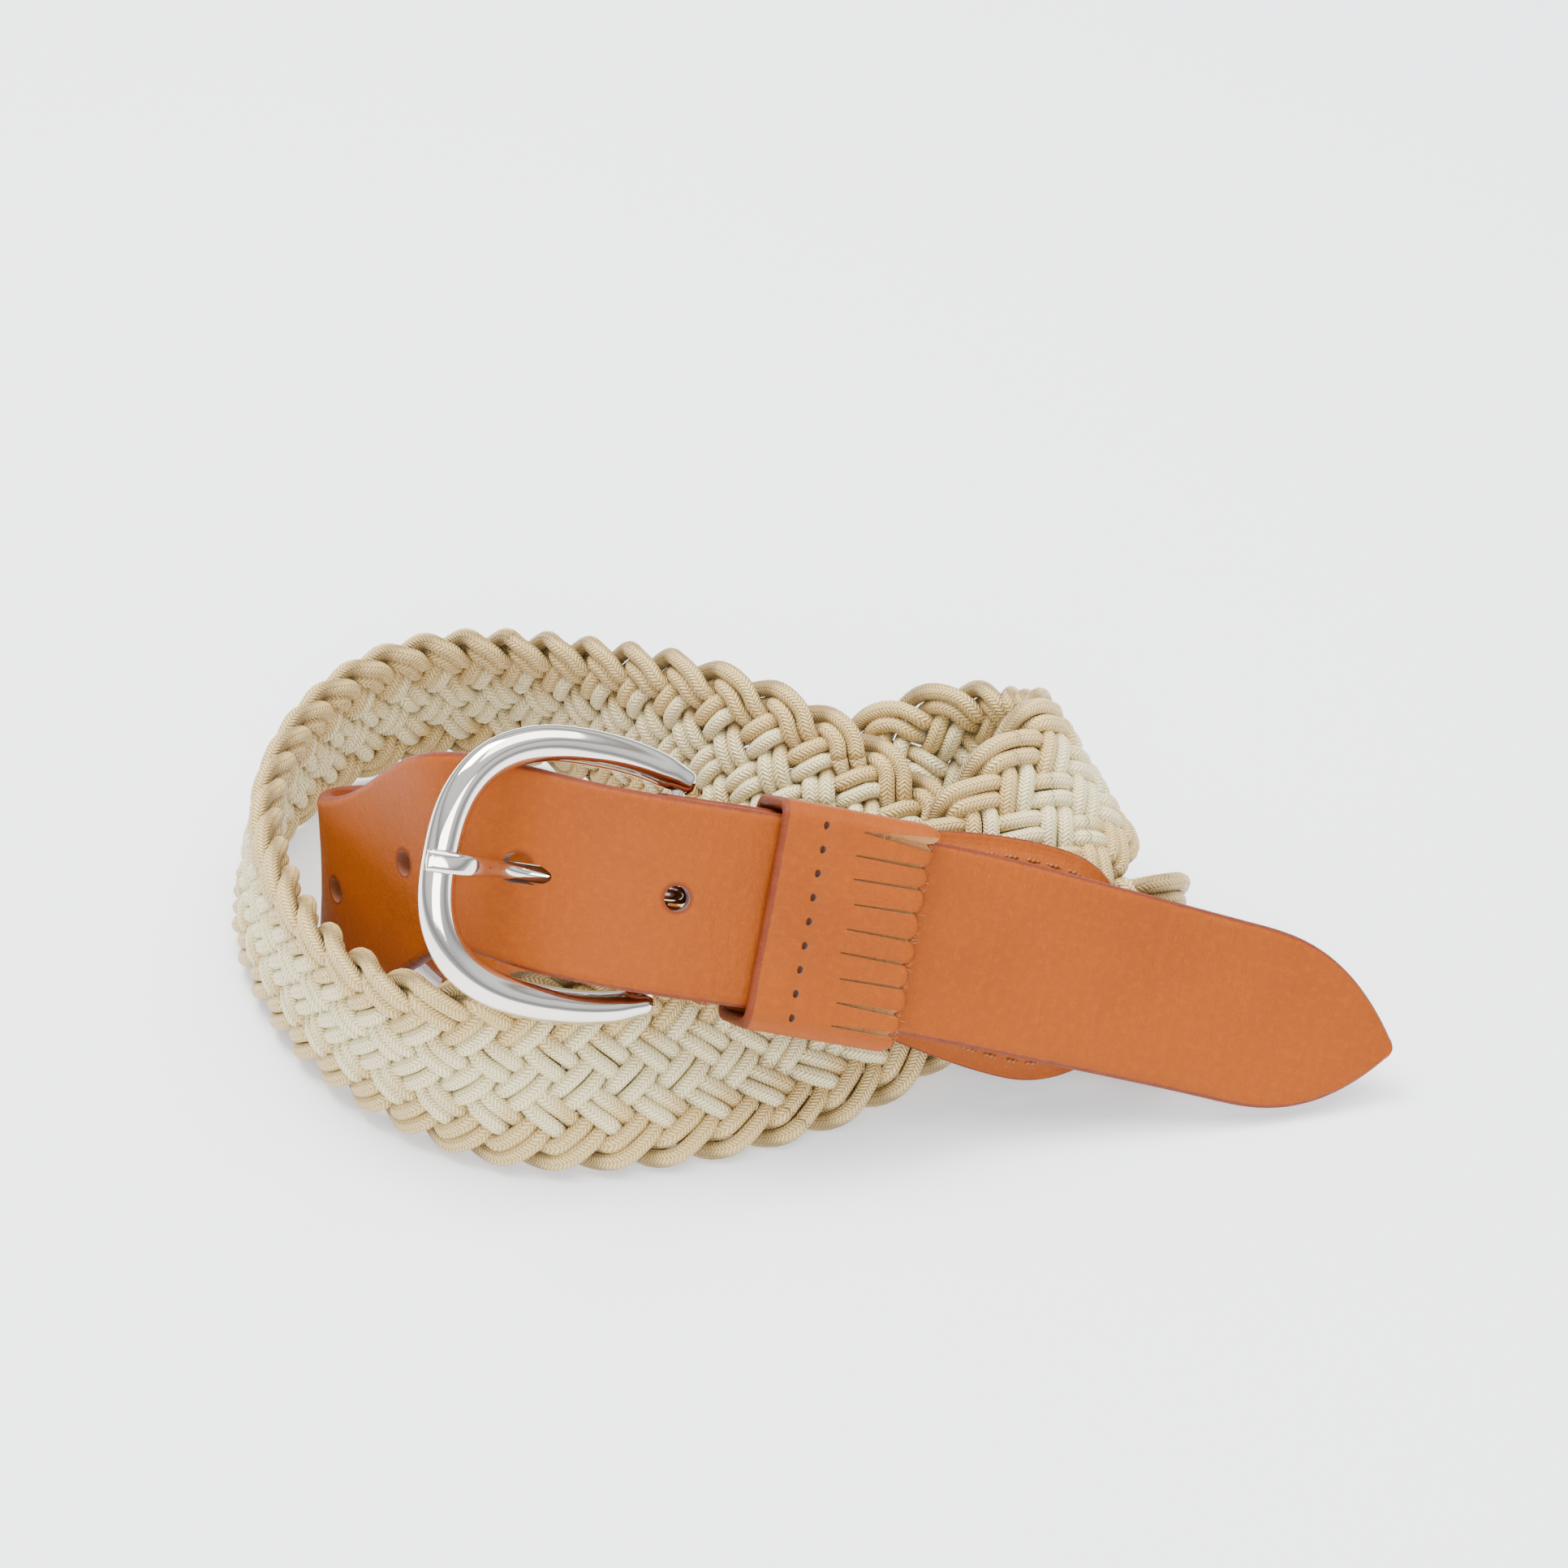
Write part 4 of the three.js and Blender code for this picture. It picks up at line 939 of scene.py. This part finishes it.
def make_keeper():
    loop, normal, at = keeper_loop()
    half, th = FRINGE_END, KEEPER_LEATHER
    r = 0.42 * th                # of the leather's rounded edges
    stations = np.arange(-half + r, half - r + 0.01, 0.75)
    turn = np.linspace(0, math.pi / 2, 5)
    cross = [(x, th / 2) for x in stations]
    cross += [(half - r + r * math.sin(a), th / 2 - r + r * math.cos(a)) for a in turn[1:]]
    cross += [(half - r + r * math.cos(a), -th / 2 + r - r * math.sin(a)) for a in turn[:-1]]
    cross += [(x, -th / 2) for x in stations[::-1]]
    cross += [(-half + r - r * math.sin(a), -th / 2 + r - r * math.cos(a)) for a in turn[1:]]
    cross += [(-half + r - r * math.cos(a), th / 2 - r + r * math.sin(a)) for a in turn[:-1]]
    cross = np.array(cross)
    along = np.broadcast_to(cross[:, 0], (len(loop), len(cross)))
    up = loop[:, :1] + normal[:, :1] * cross[:, 1]
    out = loop[:, 1:] + normal[:, 1:] * cross[:, 1]
    rings = np.stack([along, up, out], -1)
    rim = np.clip(1 - (half - np.abs(along) - 0.5) / 0.9, 0, 1) * np.where(along < 0, 1.0, 0.55)
    v = np.concatenate([cross[:, 0] + 200 * (cross[:, 1] < 0), cross[:1, 0]])
    faces = ring_faces(len(loop), len(cross), closed=True)
    faces = [face[::-1] for face in faces]
    uv = ring_uv(at, v, closed=True).reshape(-1, 4, 2)[:, ::-1].reshape(-1, 2)
    obj = new_object("keeper_leather", rings.reshape(-1, 3), faces, [leather, raw_edge, suede], uv,
                     {"rim": rim})
    slits = cut_keeper(obj)
    bend_keeper(obj, slits)
    sharpen(obj, 50)
    return obj, slits


def cut_keeper(obj):
    """Opens the back below the fringe, cuts the slits and punches the row of holes."""
    verts, cuts = [], []

    def box(x0, x1, y0, y1, z0, z1, y0b=None, y1b=None):
        base = len(verts)
        y0b, y1b = (y0 if y0b is None else y0b), (y1 if y1b is None else y1b)
        verts.extend([(x0, y0, z0), (x0, y0, z1), (x0, y1, z0), (x0, y1, z1),
                      (x1, y0b, z0), (x1, y0b, z1), (x1, y1b, z0), (x1, y1b, z1)])
        cuts.extend([[base + i for i in f] for f in BOX_FACES])
    box(FRINGE_START, FRINGE_END + 3, -30, 30, -20, 5.2)
    cut(obj, verts, cuts, raw_edge)
    verts, cuts = [], []
    gape = [1.0, 1.1, 0.3, 0.34, 0.28, 0.3, 0.36, 0.5, 2.6]    # how far each slit opens at the fringe's end
    slit_at = []
    for i in range(FRINGE_SLITS):
        up = KEEPER_SHIFT + (i - (FRINGE_SLITS - 1) / 2) * FRINGE_PITCH + rng.uniform(-0.2, 0.2)
        lean = rng.uniform(-0.35, 0.35)
        slit_at.append(up + lean)
        begin = FRINGE_START + 1.0 + rng.uniform(-0.7, 0.7)
        box(begin, FRINGE_END + 2, up - 0.13, up + 0.13, KEEPER_FRONT + SLIT_FLOOR, 20.0,
            up + lean - 0.13 - gape[i] / 2, up + lean + 0.13 + gape[i] / 2)
    cut(obj, verts, cuts, suede)
    verts, cuts = [], []
    angle = circle(16)
    for i in range(KEEPER_HOLES):
        up = KEEPER_SHIFT + (i - (KEEPER_HOLES - 1) / 2) * KEEPER_HOLE_PITCH
        along = -FRINGE_END + KEEPER_HOLE_INSET + rng.uniform(-0.12, 0.12)
        ring = np.stack([along + KEEPER_HOLE_RADII[0] * np.cos(angle),
                         up + KEEPER_HOLE_RADII[1] * np.sin(angle)], -1)
        base = len(verts)
        verts += [(a, b, KEEPER_FRONT + 0.5) for a, b in ring] + [(a, b, 16.0) for a, b in ring]
        cuts += ring_faces(2, 16, base=base)
    cut(obj, verts, cuts, raw_edge)
    return np.sort(slit_at)


def bend_keeper(obj, slits):
    """Lifts, rolls and trims each tongue of the fringe, and moves the keeper to its place on the belt."""
    mesh = obj.data
    co = np.array([v.co for v in mesh.vertices]) / MM
    tongue = np.searchsorted(slits, co[:, 1])
    outside = KEEPER_INNER_HALF + KEEPER_LEATHER
    edges = np.concatenate([[KEEPER_SHIFT - outside], slits, [KEEPER_SHIFT + outside]])
    middle = (edges[tongue] + edges[tongue + 1]) / 2
    width = (edges[tongue + 1] - edges[tongue]) / 2
    reach = np.clip((co[:, 0] - FRINGE_START - 1) / (FRINGE_END - FRINGE_START - 1), 0, 1.2)
    lift = np.array([0.5, 0.3, 0.08, 0.16, 0.04, 0.18, 0.06, 0.14, 0.15, 0.9])[tongue]
    roll = np.array([0.12, -0.08, 0.05, -0.05, 0.03, 0.05, -0.04, 0.05, -0.06, -0.16])[tongue]
    trim = np.array([0.9, 0.3, -0.1, 0.25, 0.0, 0.3, 0.05, 0.25, 0.0, -0.4])[tongue]
    free = reach > 0
    side = (co[:, 1] - middle) / np.maximum(width, 0.1)
    co[:, 2] += np.where(free, lift * reach ** 2 + roll * (co[:, 1] - middle) * reach * 1.6
                         + 0.22 * (1 - side ** 2) * reach, 0)
    co[:, 0] -= np.where(free, reach ** 3 * (trim + 1.25 * np.abs(side) ** 2.6), 0)
    # leather pressed in a little along the row of holes, and softened across the band
    dip = np.exp(-((co[:, 0] + FRINGE_END - KEEPER_HOLE_INSET) / 1.1) ** 2) * smooth(6.5, 8.8, co[:, 2])
    co[:, 2] -= 0.12 * dip
    co[:, 2] += 0.10 * np.sin(co[:, 1] * 0.33 + 1.0) * smooth(6.5, 8.8, co[:, 2])
    p, t, w, n = belt_at(KEEPER_START + FRINGE_END)
    world = (p + co[:, :1] * t + co[:, 1:2] * w + co[:, 2:] * n) * MM
    mesh.vertices.foreach_set("co", world.ravel())
    mesh.update()


def make_fibres(slits):
    """Loose suede fibres along the gaping slits and the fringe's ends."""
    p0, t0, w0, n0 = belt_at(KEEPER_START + FRINGE_END)
    bundle = Bundle()

    def hair(origin, direction, length, radius):
        f = np.linspace(0, 1, 6)
        sway = rng.normal(0, 0.25, 3)
        line = origin + direction * (f * length)[:, None] + sway * (f ** 2 * length)[:, None]
        rings = tube(line, np.stack([radius * (1 - 0.7 * f)] * 2, -1), n0 + 0.01, sides=4)
        bundle.add(rings, f * length, np.linspace(0, 1, 5))
    strong = {0: 26, 1: 16, len(slits) - 1: 26}
    for i, up in enumerate(slits):
        for _ in range(strong.get(i, 5)):
            along = FRINGE_START + 1.5 + rng.uniform(0.15, 0.98) * (FRINGE_END - FRINGE_START - 1.8)
            z = KEEPER_FRONT + rng.uniform(0.2, 1.6)
            side = rng.choice([-1, 1])
            spot = p0 + along * t0 + (up - side * 0.25) * w0 + z * n0
            hair(spot, unit(side * w0 * 0.5 + n0 * rng.uniform(-0.2, 0.5) + t0 * rng.uniform(-0.6, 1.0)),
                 rng.uniform(0.35, 0.9), 0.05)
    for _ in range(150):
        up = KEEPER_SHIFT + rng.uniform(-1, 1) * (KEEPER_INNER_HALF + 1.2)
        z = KEEPER_FRONT + rng.uniform(0.25, 1.65)
        spot = p0 + (FRINGE_END - 0.8) * t0 + up * w0 + z * n0
        hair(spot, unit(t0 + w0 * rng.normal(0, 0.6) + n0 * rng.normal(0, 0.5)), rng.uniform(0.5, 1.1), 0.045)
    return bundle.made("fringe_fibres", suede)


def make_staple():
    p, t, w, n = belt_at(KEEPER_START + FRINGE_END)
    behind = KEEPER_BACK - KEEPER_LEATHER - 0.35
    along = 5.5 - FRINGE_END
    flat = [(-4.6, behind + 0.9), (-4.5, behind + 0.3), (-4.0, behind), (0, behind), (4.0, behind),
            (4.5, behind + 0.3), (4.6, behind + 0.9)]
    line = catmull(np.array([p + along * t + (a + KEEPER_SHIFT) * w + b * n for a, b in flat]), 6)
    rings = tube(line, (0.42, 0.32), t, sides=14)
    return solid("staple_metal", rings, nickel)


# ------------------------------------------------------------------ braid


def strand_line(k):
    """Where a pair is at k, its place in the period from 0 to 14: across the belt, the extra distance
    along it, and out of it from -1 under to 1 over."""
    k = np.mod(k, 2 * STRANDS)
    down = np.where(k < STRANDS, k, 2 * STRANDS - k)
    last_row = ROW_STEP * (STRANDS / 2 - 1)
    to_turn = np.minimum(down, STRANDS - down)
    bend = last_row + ROW_STEP / 2 * (1 - to_turn ** 2)
    across = np.where(to_turn >= 1, ROW_STEP * (STRANDS / 2 - down), np.where(down < 3, bend, -bend))
    first = np.where(k < STRANDS, 1, STRANDS + 1)
    wave = np.sin(math.pi * (k - first)) / math.pi
    extra = np.where(to_turn >= 1, wave, (to_turn - 1) * to_turn ** 2)
    along = extra * FLOAT_STRETCH * BRAID_PERIOD / (2 * STRANDS)
    out = np.where(k < 1, -np.cos(math.pi * (k + 1) / 2), 0.0)
    out = np.where((k >= 1) & (k < 6), np.cos(math.pi * (k - 1)), out)
    out = np.where((k >= 6) & (k < 8), -np.cos(math.pi * (k - 6) / 2), out)
    out = np.where((k >= 8) & (k < 13), np.cos(math.pi * (k - 8)), out)
    out = np.where(k >= 13, -np.cos(math.pi * (k - 13) / 2), out)
    return across, along, np.tanh(1.5 * out) / math.tanh(1.5)


def cord_centre(strand, which, at):
    """The middle of one cord of a pair, the direction out, and how firmly leather holds it, at places
    along the belt."""
    phase = strand * 3.4 + which * 1.7
    per_mm = 2 * STRANDS / BRAID_PERIOD
    k = at * per_mm + 2 * strand
    ahead = 0.02
    across, extra, out = strand_line(k)
    across2, extra2, _ = strand_line(k + ahead)
    heading = unit(np.stack([ahead / per_mm + extra2 - extra, across2 - across], -1))
    held = smooth(TAB_LENGTH - 1, TAB_LENGTH - 9, at) + smooth(JOINT_END + 1, JOINT_END + 9, at)
    apart = which * CORD_WIDTH * (0.97 - 0.07 * (1 - out) / 2)
    wander = 0.09 * np.sin(at * 0.37 + phase) + 0.07 * np.sin(at * 0.83 + 2 * phase)
    v = (across + apart * heading[:, 0] + wander) * (1 - 0.19 * held) + BRAID_LIFT * (1 - held)
    along = at + extra - apart * heading[:, 1]
    rise = out * BRAID_RISE * (1 - 0.45 * held) + 0.07 * np.sin(at * 0.61 + 3 * phase)
    p, t, w, n = belt(along)
    return p + w * v[:, None] + n * rise[:, None], n, v, held, rise


def make_braid(name, first, last):
    """The fourteen cords between two places along the belt."""
    steps = max(int(round((last - first) / 0.8)), 4)
    s = np.linspace(first, last, steps + 1)
    sides = 12
    angle = circle(sides)
    bundle, tones, painted_crevice_shades = Bundle(), [], []
    for strand in range(STRANDS):
        for which in (-1, 1):
            p, n, across, held, rise = cord_centre(strand, which, s)
            t = unit(cord_centre(strand, which, s + 0.3)[0] - cord_centre(strand, which, s - 0.3)[0])
            side = unit(np.cross(n, t))
            top = np.cross(t, side)
            fat = 1 + 0.03 * np.sin(s * 1.1 + strand)
            rings = p[:, None] + side[:, None] * (CORD_WIDTH * fat[:, None] * np.cos(angle))[..., None] \
                + top[:, None] * ((CORD_DEPTH * fat * (1 - 0.25 * held))[:, None] * np.sin(angle))[..., None]
            rings[..., 2] = np.maximum(rings[..., 2], FLOOR_CLEARANCE)
            length = distances(p)
            # a cord is longer than the belt by a fixed share, so its ribs meet across the sections
            run = CORD_SHARE * (last - first) / length[-1]
            along = length * run + first * CORD_SHARE + strand * 3.1
            bundle.add(rings, along, np.linspace(0, 1, sides + 1))
            if which < 0:
                reach = smooth(6.0, 11.0, np.abs(across))
            else:
                reach = 0.3 + 0.7 * smooth(2.0, 9.5, np.abs(across))
            tones.append(np.repeat(reach, sides))
            # painted shade: points low towards the braid's mid-plane, in the gaps between cords, are marked
            # to be darkened where shade falls
            height = np.abs(rise[:, None] + CORD_DEPTH * np.sin(angle)) / (BRAID_RISE + CORD_DEPTH)
            painted_crevice_shades.append(smooth(0.62, 0.15, height))
    return bundle.made(name, elastic, {"tone": np.concatenate(tones), "painted_crevice_shade": np.concatenate(painted_crevice_shades)})


SECTION_NAMES = ["braid_right_turn", "braid_far_rise", "braid_far_run", "braid_left_end", "braid_front_left",
                 "braid_front_right", "braid_small_loop", "braid_small_return", "braid_inner_run"]

# ------------------------------------------------------------------ build


def settle(obj, body, nodes):
    """Puts a piece on its body, in place of CAD nodes where it has any."""
    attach(obj, body)
    if nodes:
        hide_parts(*nodes)


section = (BRAID_END - BRAID_START) / len(SECTION_NAMES)
for index, node in enumerate(SECTION_NAMES):
    cords = make_braid(node + "_cords", BRAID_START + index * section, BRAID_START + (index + 1) * section)
    settle(cords, "belt", [node])

settle(make_tab(), "belt", ["buckle_tab"])
settle(make_backing(), "belt", ["joint_backing"])



def under_tab(s, across, from_edge):
    return -tab_lift(s, across, from_edge)


tab_rows = np.concatenate([np.arange(40, TAB_FULLEST, 1.0), toward(TAB_FULLEST, TAB_LENGTH - 0.05, 40)])
joint_rows = np.concatenate([np.arange(JOINT_END + 28, JOINT_END + JOINT_ROUND, -1.0),
                             toward(JOINT_END + JOINT_ROUND, JOINT_END + 0.05, 40)])
SEAMS = [("tab_stitches", tab_half, tab_rows, tab_lift, 1, ["tab_stitching"]),
         ("tab_back_stitches", tab_half, tab_rows, under_tab, -1, []),
         ("joint_stitches", joint_half, joint_rows, billet_lift, 1, ["joint_stitching"]),
         ("joint_back_stitches", joint_half, joint_rows, backing_lift, -1, [])]
for name, half, rows, lift, side, nodes in SEAMS:
    settle(stitches(name, *outline_path(half, rows, lift, side)), "belt", nodes)

row = np.linspace(-13.4, 13.4, 60)
places = np.full(len(row), BAR_SEAM)
p, t, w, n = belt(places)
height = tab_lift(places, row, STRAP_WIDTH / 2 - np.abs(row)) + TAB_PLY / 2
settle(stitches("bar_stitches", p + w * row[:, None] + n * height[:, None], n, 2.2, 2.8), "belt",
       ["bar_stitching"])

bundle = Bundle()
for s in EDGE_WRAPS:
    p, t, w, n = belt_at(s)
    top = float(leg_offset(s)) + TAB_PLY / 2
    bend = [(-12.6, top - 0.1), (-13.6, top + 0.3), (-14.8, top + 0.25), (-15.5, top - 0.7), (-15.6, 0.0),
            (-15.5, 0.7 - top), (-14.8, -top - 0.25), (-13.6, -top - 0.3), (-12.6, 0.1 - top)]
    line = catmull([p + a * w + o * n for a, o in bend], 5)
    bundle.add(tube(line, (0.46, 0.42), t, sides=12), np.arange(len(line)) * 0.4, np.linspace(0, 1, 13))
settle(bundle.made("edge_wraps", thread), "belt", [])

billet = make_billet()
p, t, w, n = belt_at(FLEX_S)
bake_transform(billet)
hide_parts("billet_strap", "billet_tip")
sharpen(billet, 50)

settle(make_frame(), "frame", ["buckle_frame"])
settle(make_bar(), "frame", ["heel_bar"])
settle(make_prong(), "prong", ["buckle_prong"])
keeper, slits = make_keeper()
settle(keeper, "keeper", ["keeper_band"])
settle(make_fibres(slits), "keeper", [])
settle(make_staple(), "keeper", ["keeper_staple"])

# ------------------------------------------------------------------ floor, light and camera


FLOOR_HALF_M = 3.0
FLOOR_BELOW_M = 0.0004


def floor_material():
    g = Graph("pale_floor")
    return g.set(Base_Color=(0.90, 0.925, 0.96, 1), Roughness=0.8, Specular_IOR_Level=0.2,
                 Emission_Color=(0.97, 0.98, 1.0, 1), Emission_Strength=0.3)


mesh = bpy.data.meshes.new("floor")
corners = [(x * FLOOR_HALF_M, y * FLOOR_HALF_M, 0) for x, y in ((-1, -1), (1, -1), (1, 1), (-1, 1))]
mesh.from_pydata(corners, [], [(0, 1, 2, 3)])
mesh.materials.append(floor_material())
floor = bpy.data.objects.new("floor", mesh)
floor.location = (0, 0, -FLOOR_BELOW_M)
bpy.context.scene.collection.objects.link(floor)

world = bpy.data.worlds.new("studio")
world.use_nodes = True
bpy.context.scene.world = world
background = world.node_tree.nodes["Background"]
place = world.node_tree.nodes.new("ShaderNodeTexCoord")
height = world.node_tree.nodes.new("ShaderNodeSeparateXYZ")
bands = world.node_tree.nodes.new("ShaderNodeValToRGB")
world.node_tree.links.new(place.outputs["Generated"], height.inputs[0])
world.node_tree.links.new(height.outputs[2], bands.inputs[0])
world.node_tree.links.new(bands.outputs[0], background.inputs[0])
stops = [(0.0, (0.62, 0.66, 0.72, 1)), (0.16, (0.30, 0.31, 0.33, 1)), (0.34, (0.80, 0.86, 0.95, 1)),
         (0.52, (0.95, 0.98, 1.0, 1)), (0.60, (0.34, 0.33, 0.32, 1)), (0.74, (0.85, 0.9, 1.0, 1)),
         (1.0, (1.0, 1.0, 1.0, 1))]
bands.color_ramp.elements[0].position, bands.color_ramp.elements[0].color = stops[0]
bands.color_ramp.elements[1].position, bands.color_ramp.elements[1].color = stops[-1]
for position, colour in stops[1:-1]:
    bands.color_ramp.elements.new(position).color = colour
background.inputs[1].default_value = 1.2


def area(name, place, target, size_m, energy, colour, size_y=None):
    data = bpy.data.lights.new(name, "AREA")
    data.shape = "RECTANGLE"
    data.size, data.size_y = size_m, size_y or size_m
    data.energy, data.color = energy, colour
    obj = bpy.data.objects.new(name, data)
    obj.location = place
    obj.rotation_mode = "QUATERNION"
    obj.rotation_quaternion = (Vector(target) - Vector(place)).to_track_quat("-Z", "Y")
    bpy.context.scene.collection.objects.link(obj)


area("key", (-0.35, 0.25, 0.95), (0, 0, 0), 0.6, 20.0, (1.0, 0.985, 0.96))
area("top", (0.35, 0.10, 1.1), (0, 0, 0), 0.9, 15.0, (1.0, 0.99, 0.98))
area("front", (0.1, -0.9, 0.55), (0, 0, 0.02), 0.8, 10.0, (0.97, 0.985, 1.0), 0.45)

VIEW_ELEVATION = math.radians(37)
VIEW_DISTANCE = 695.0
aim = np.array([-3.2, 53.5, 0.0]) + SHIFT
camera_data = bpy.data.cameras.new("camera")
camera_data.sensor_width = 36
camera_data.lens = 91.6
camera_data.clip_start, camera_data.clip_end = 0.01, 20
camera = bpy.data.objects.new("camera", camera_data)
back = Vector((0, -math.cos(VIEW_ELEVATION), math.sin(VIEW_ELEVATION)))
camera.location = Vector(aim * MM) + back * VIEW_DISTANCE * MM
camera.rotation_mode = "QUATERNION"
camera.rotation_quaternion = (-back).to_track_quat("-Z", "Y")
bpy.context.scene.collection.objects.link(camera)
bpy.context.scene.camera = camera
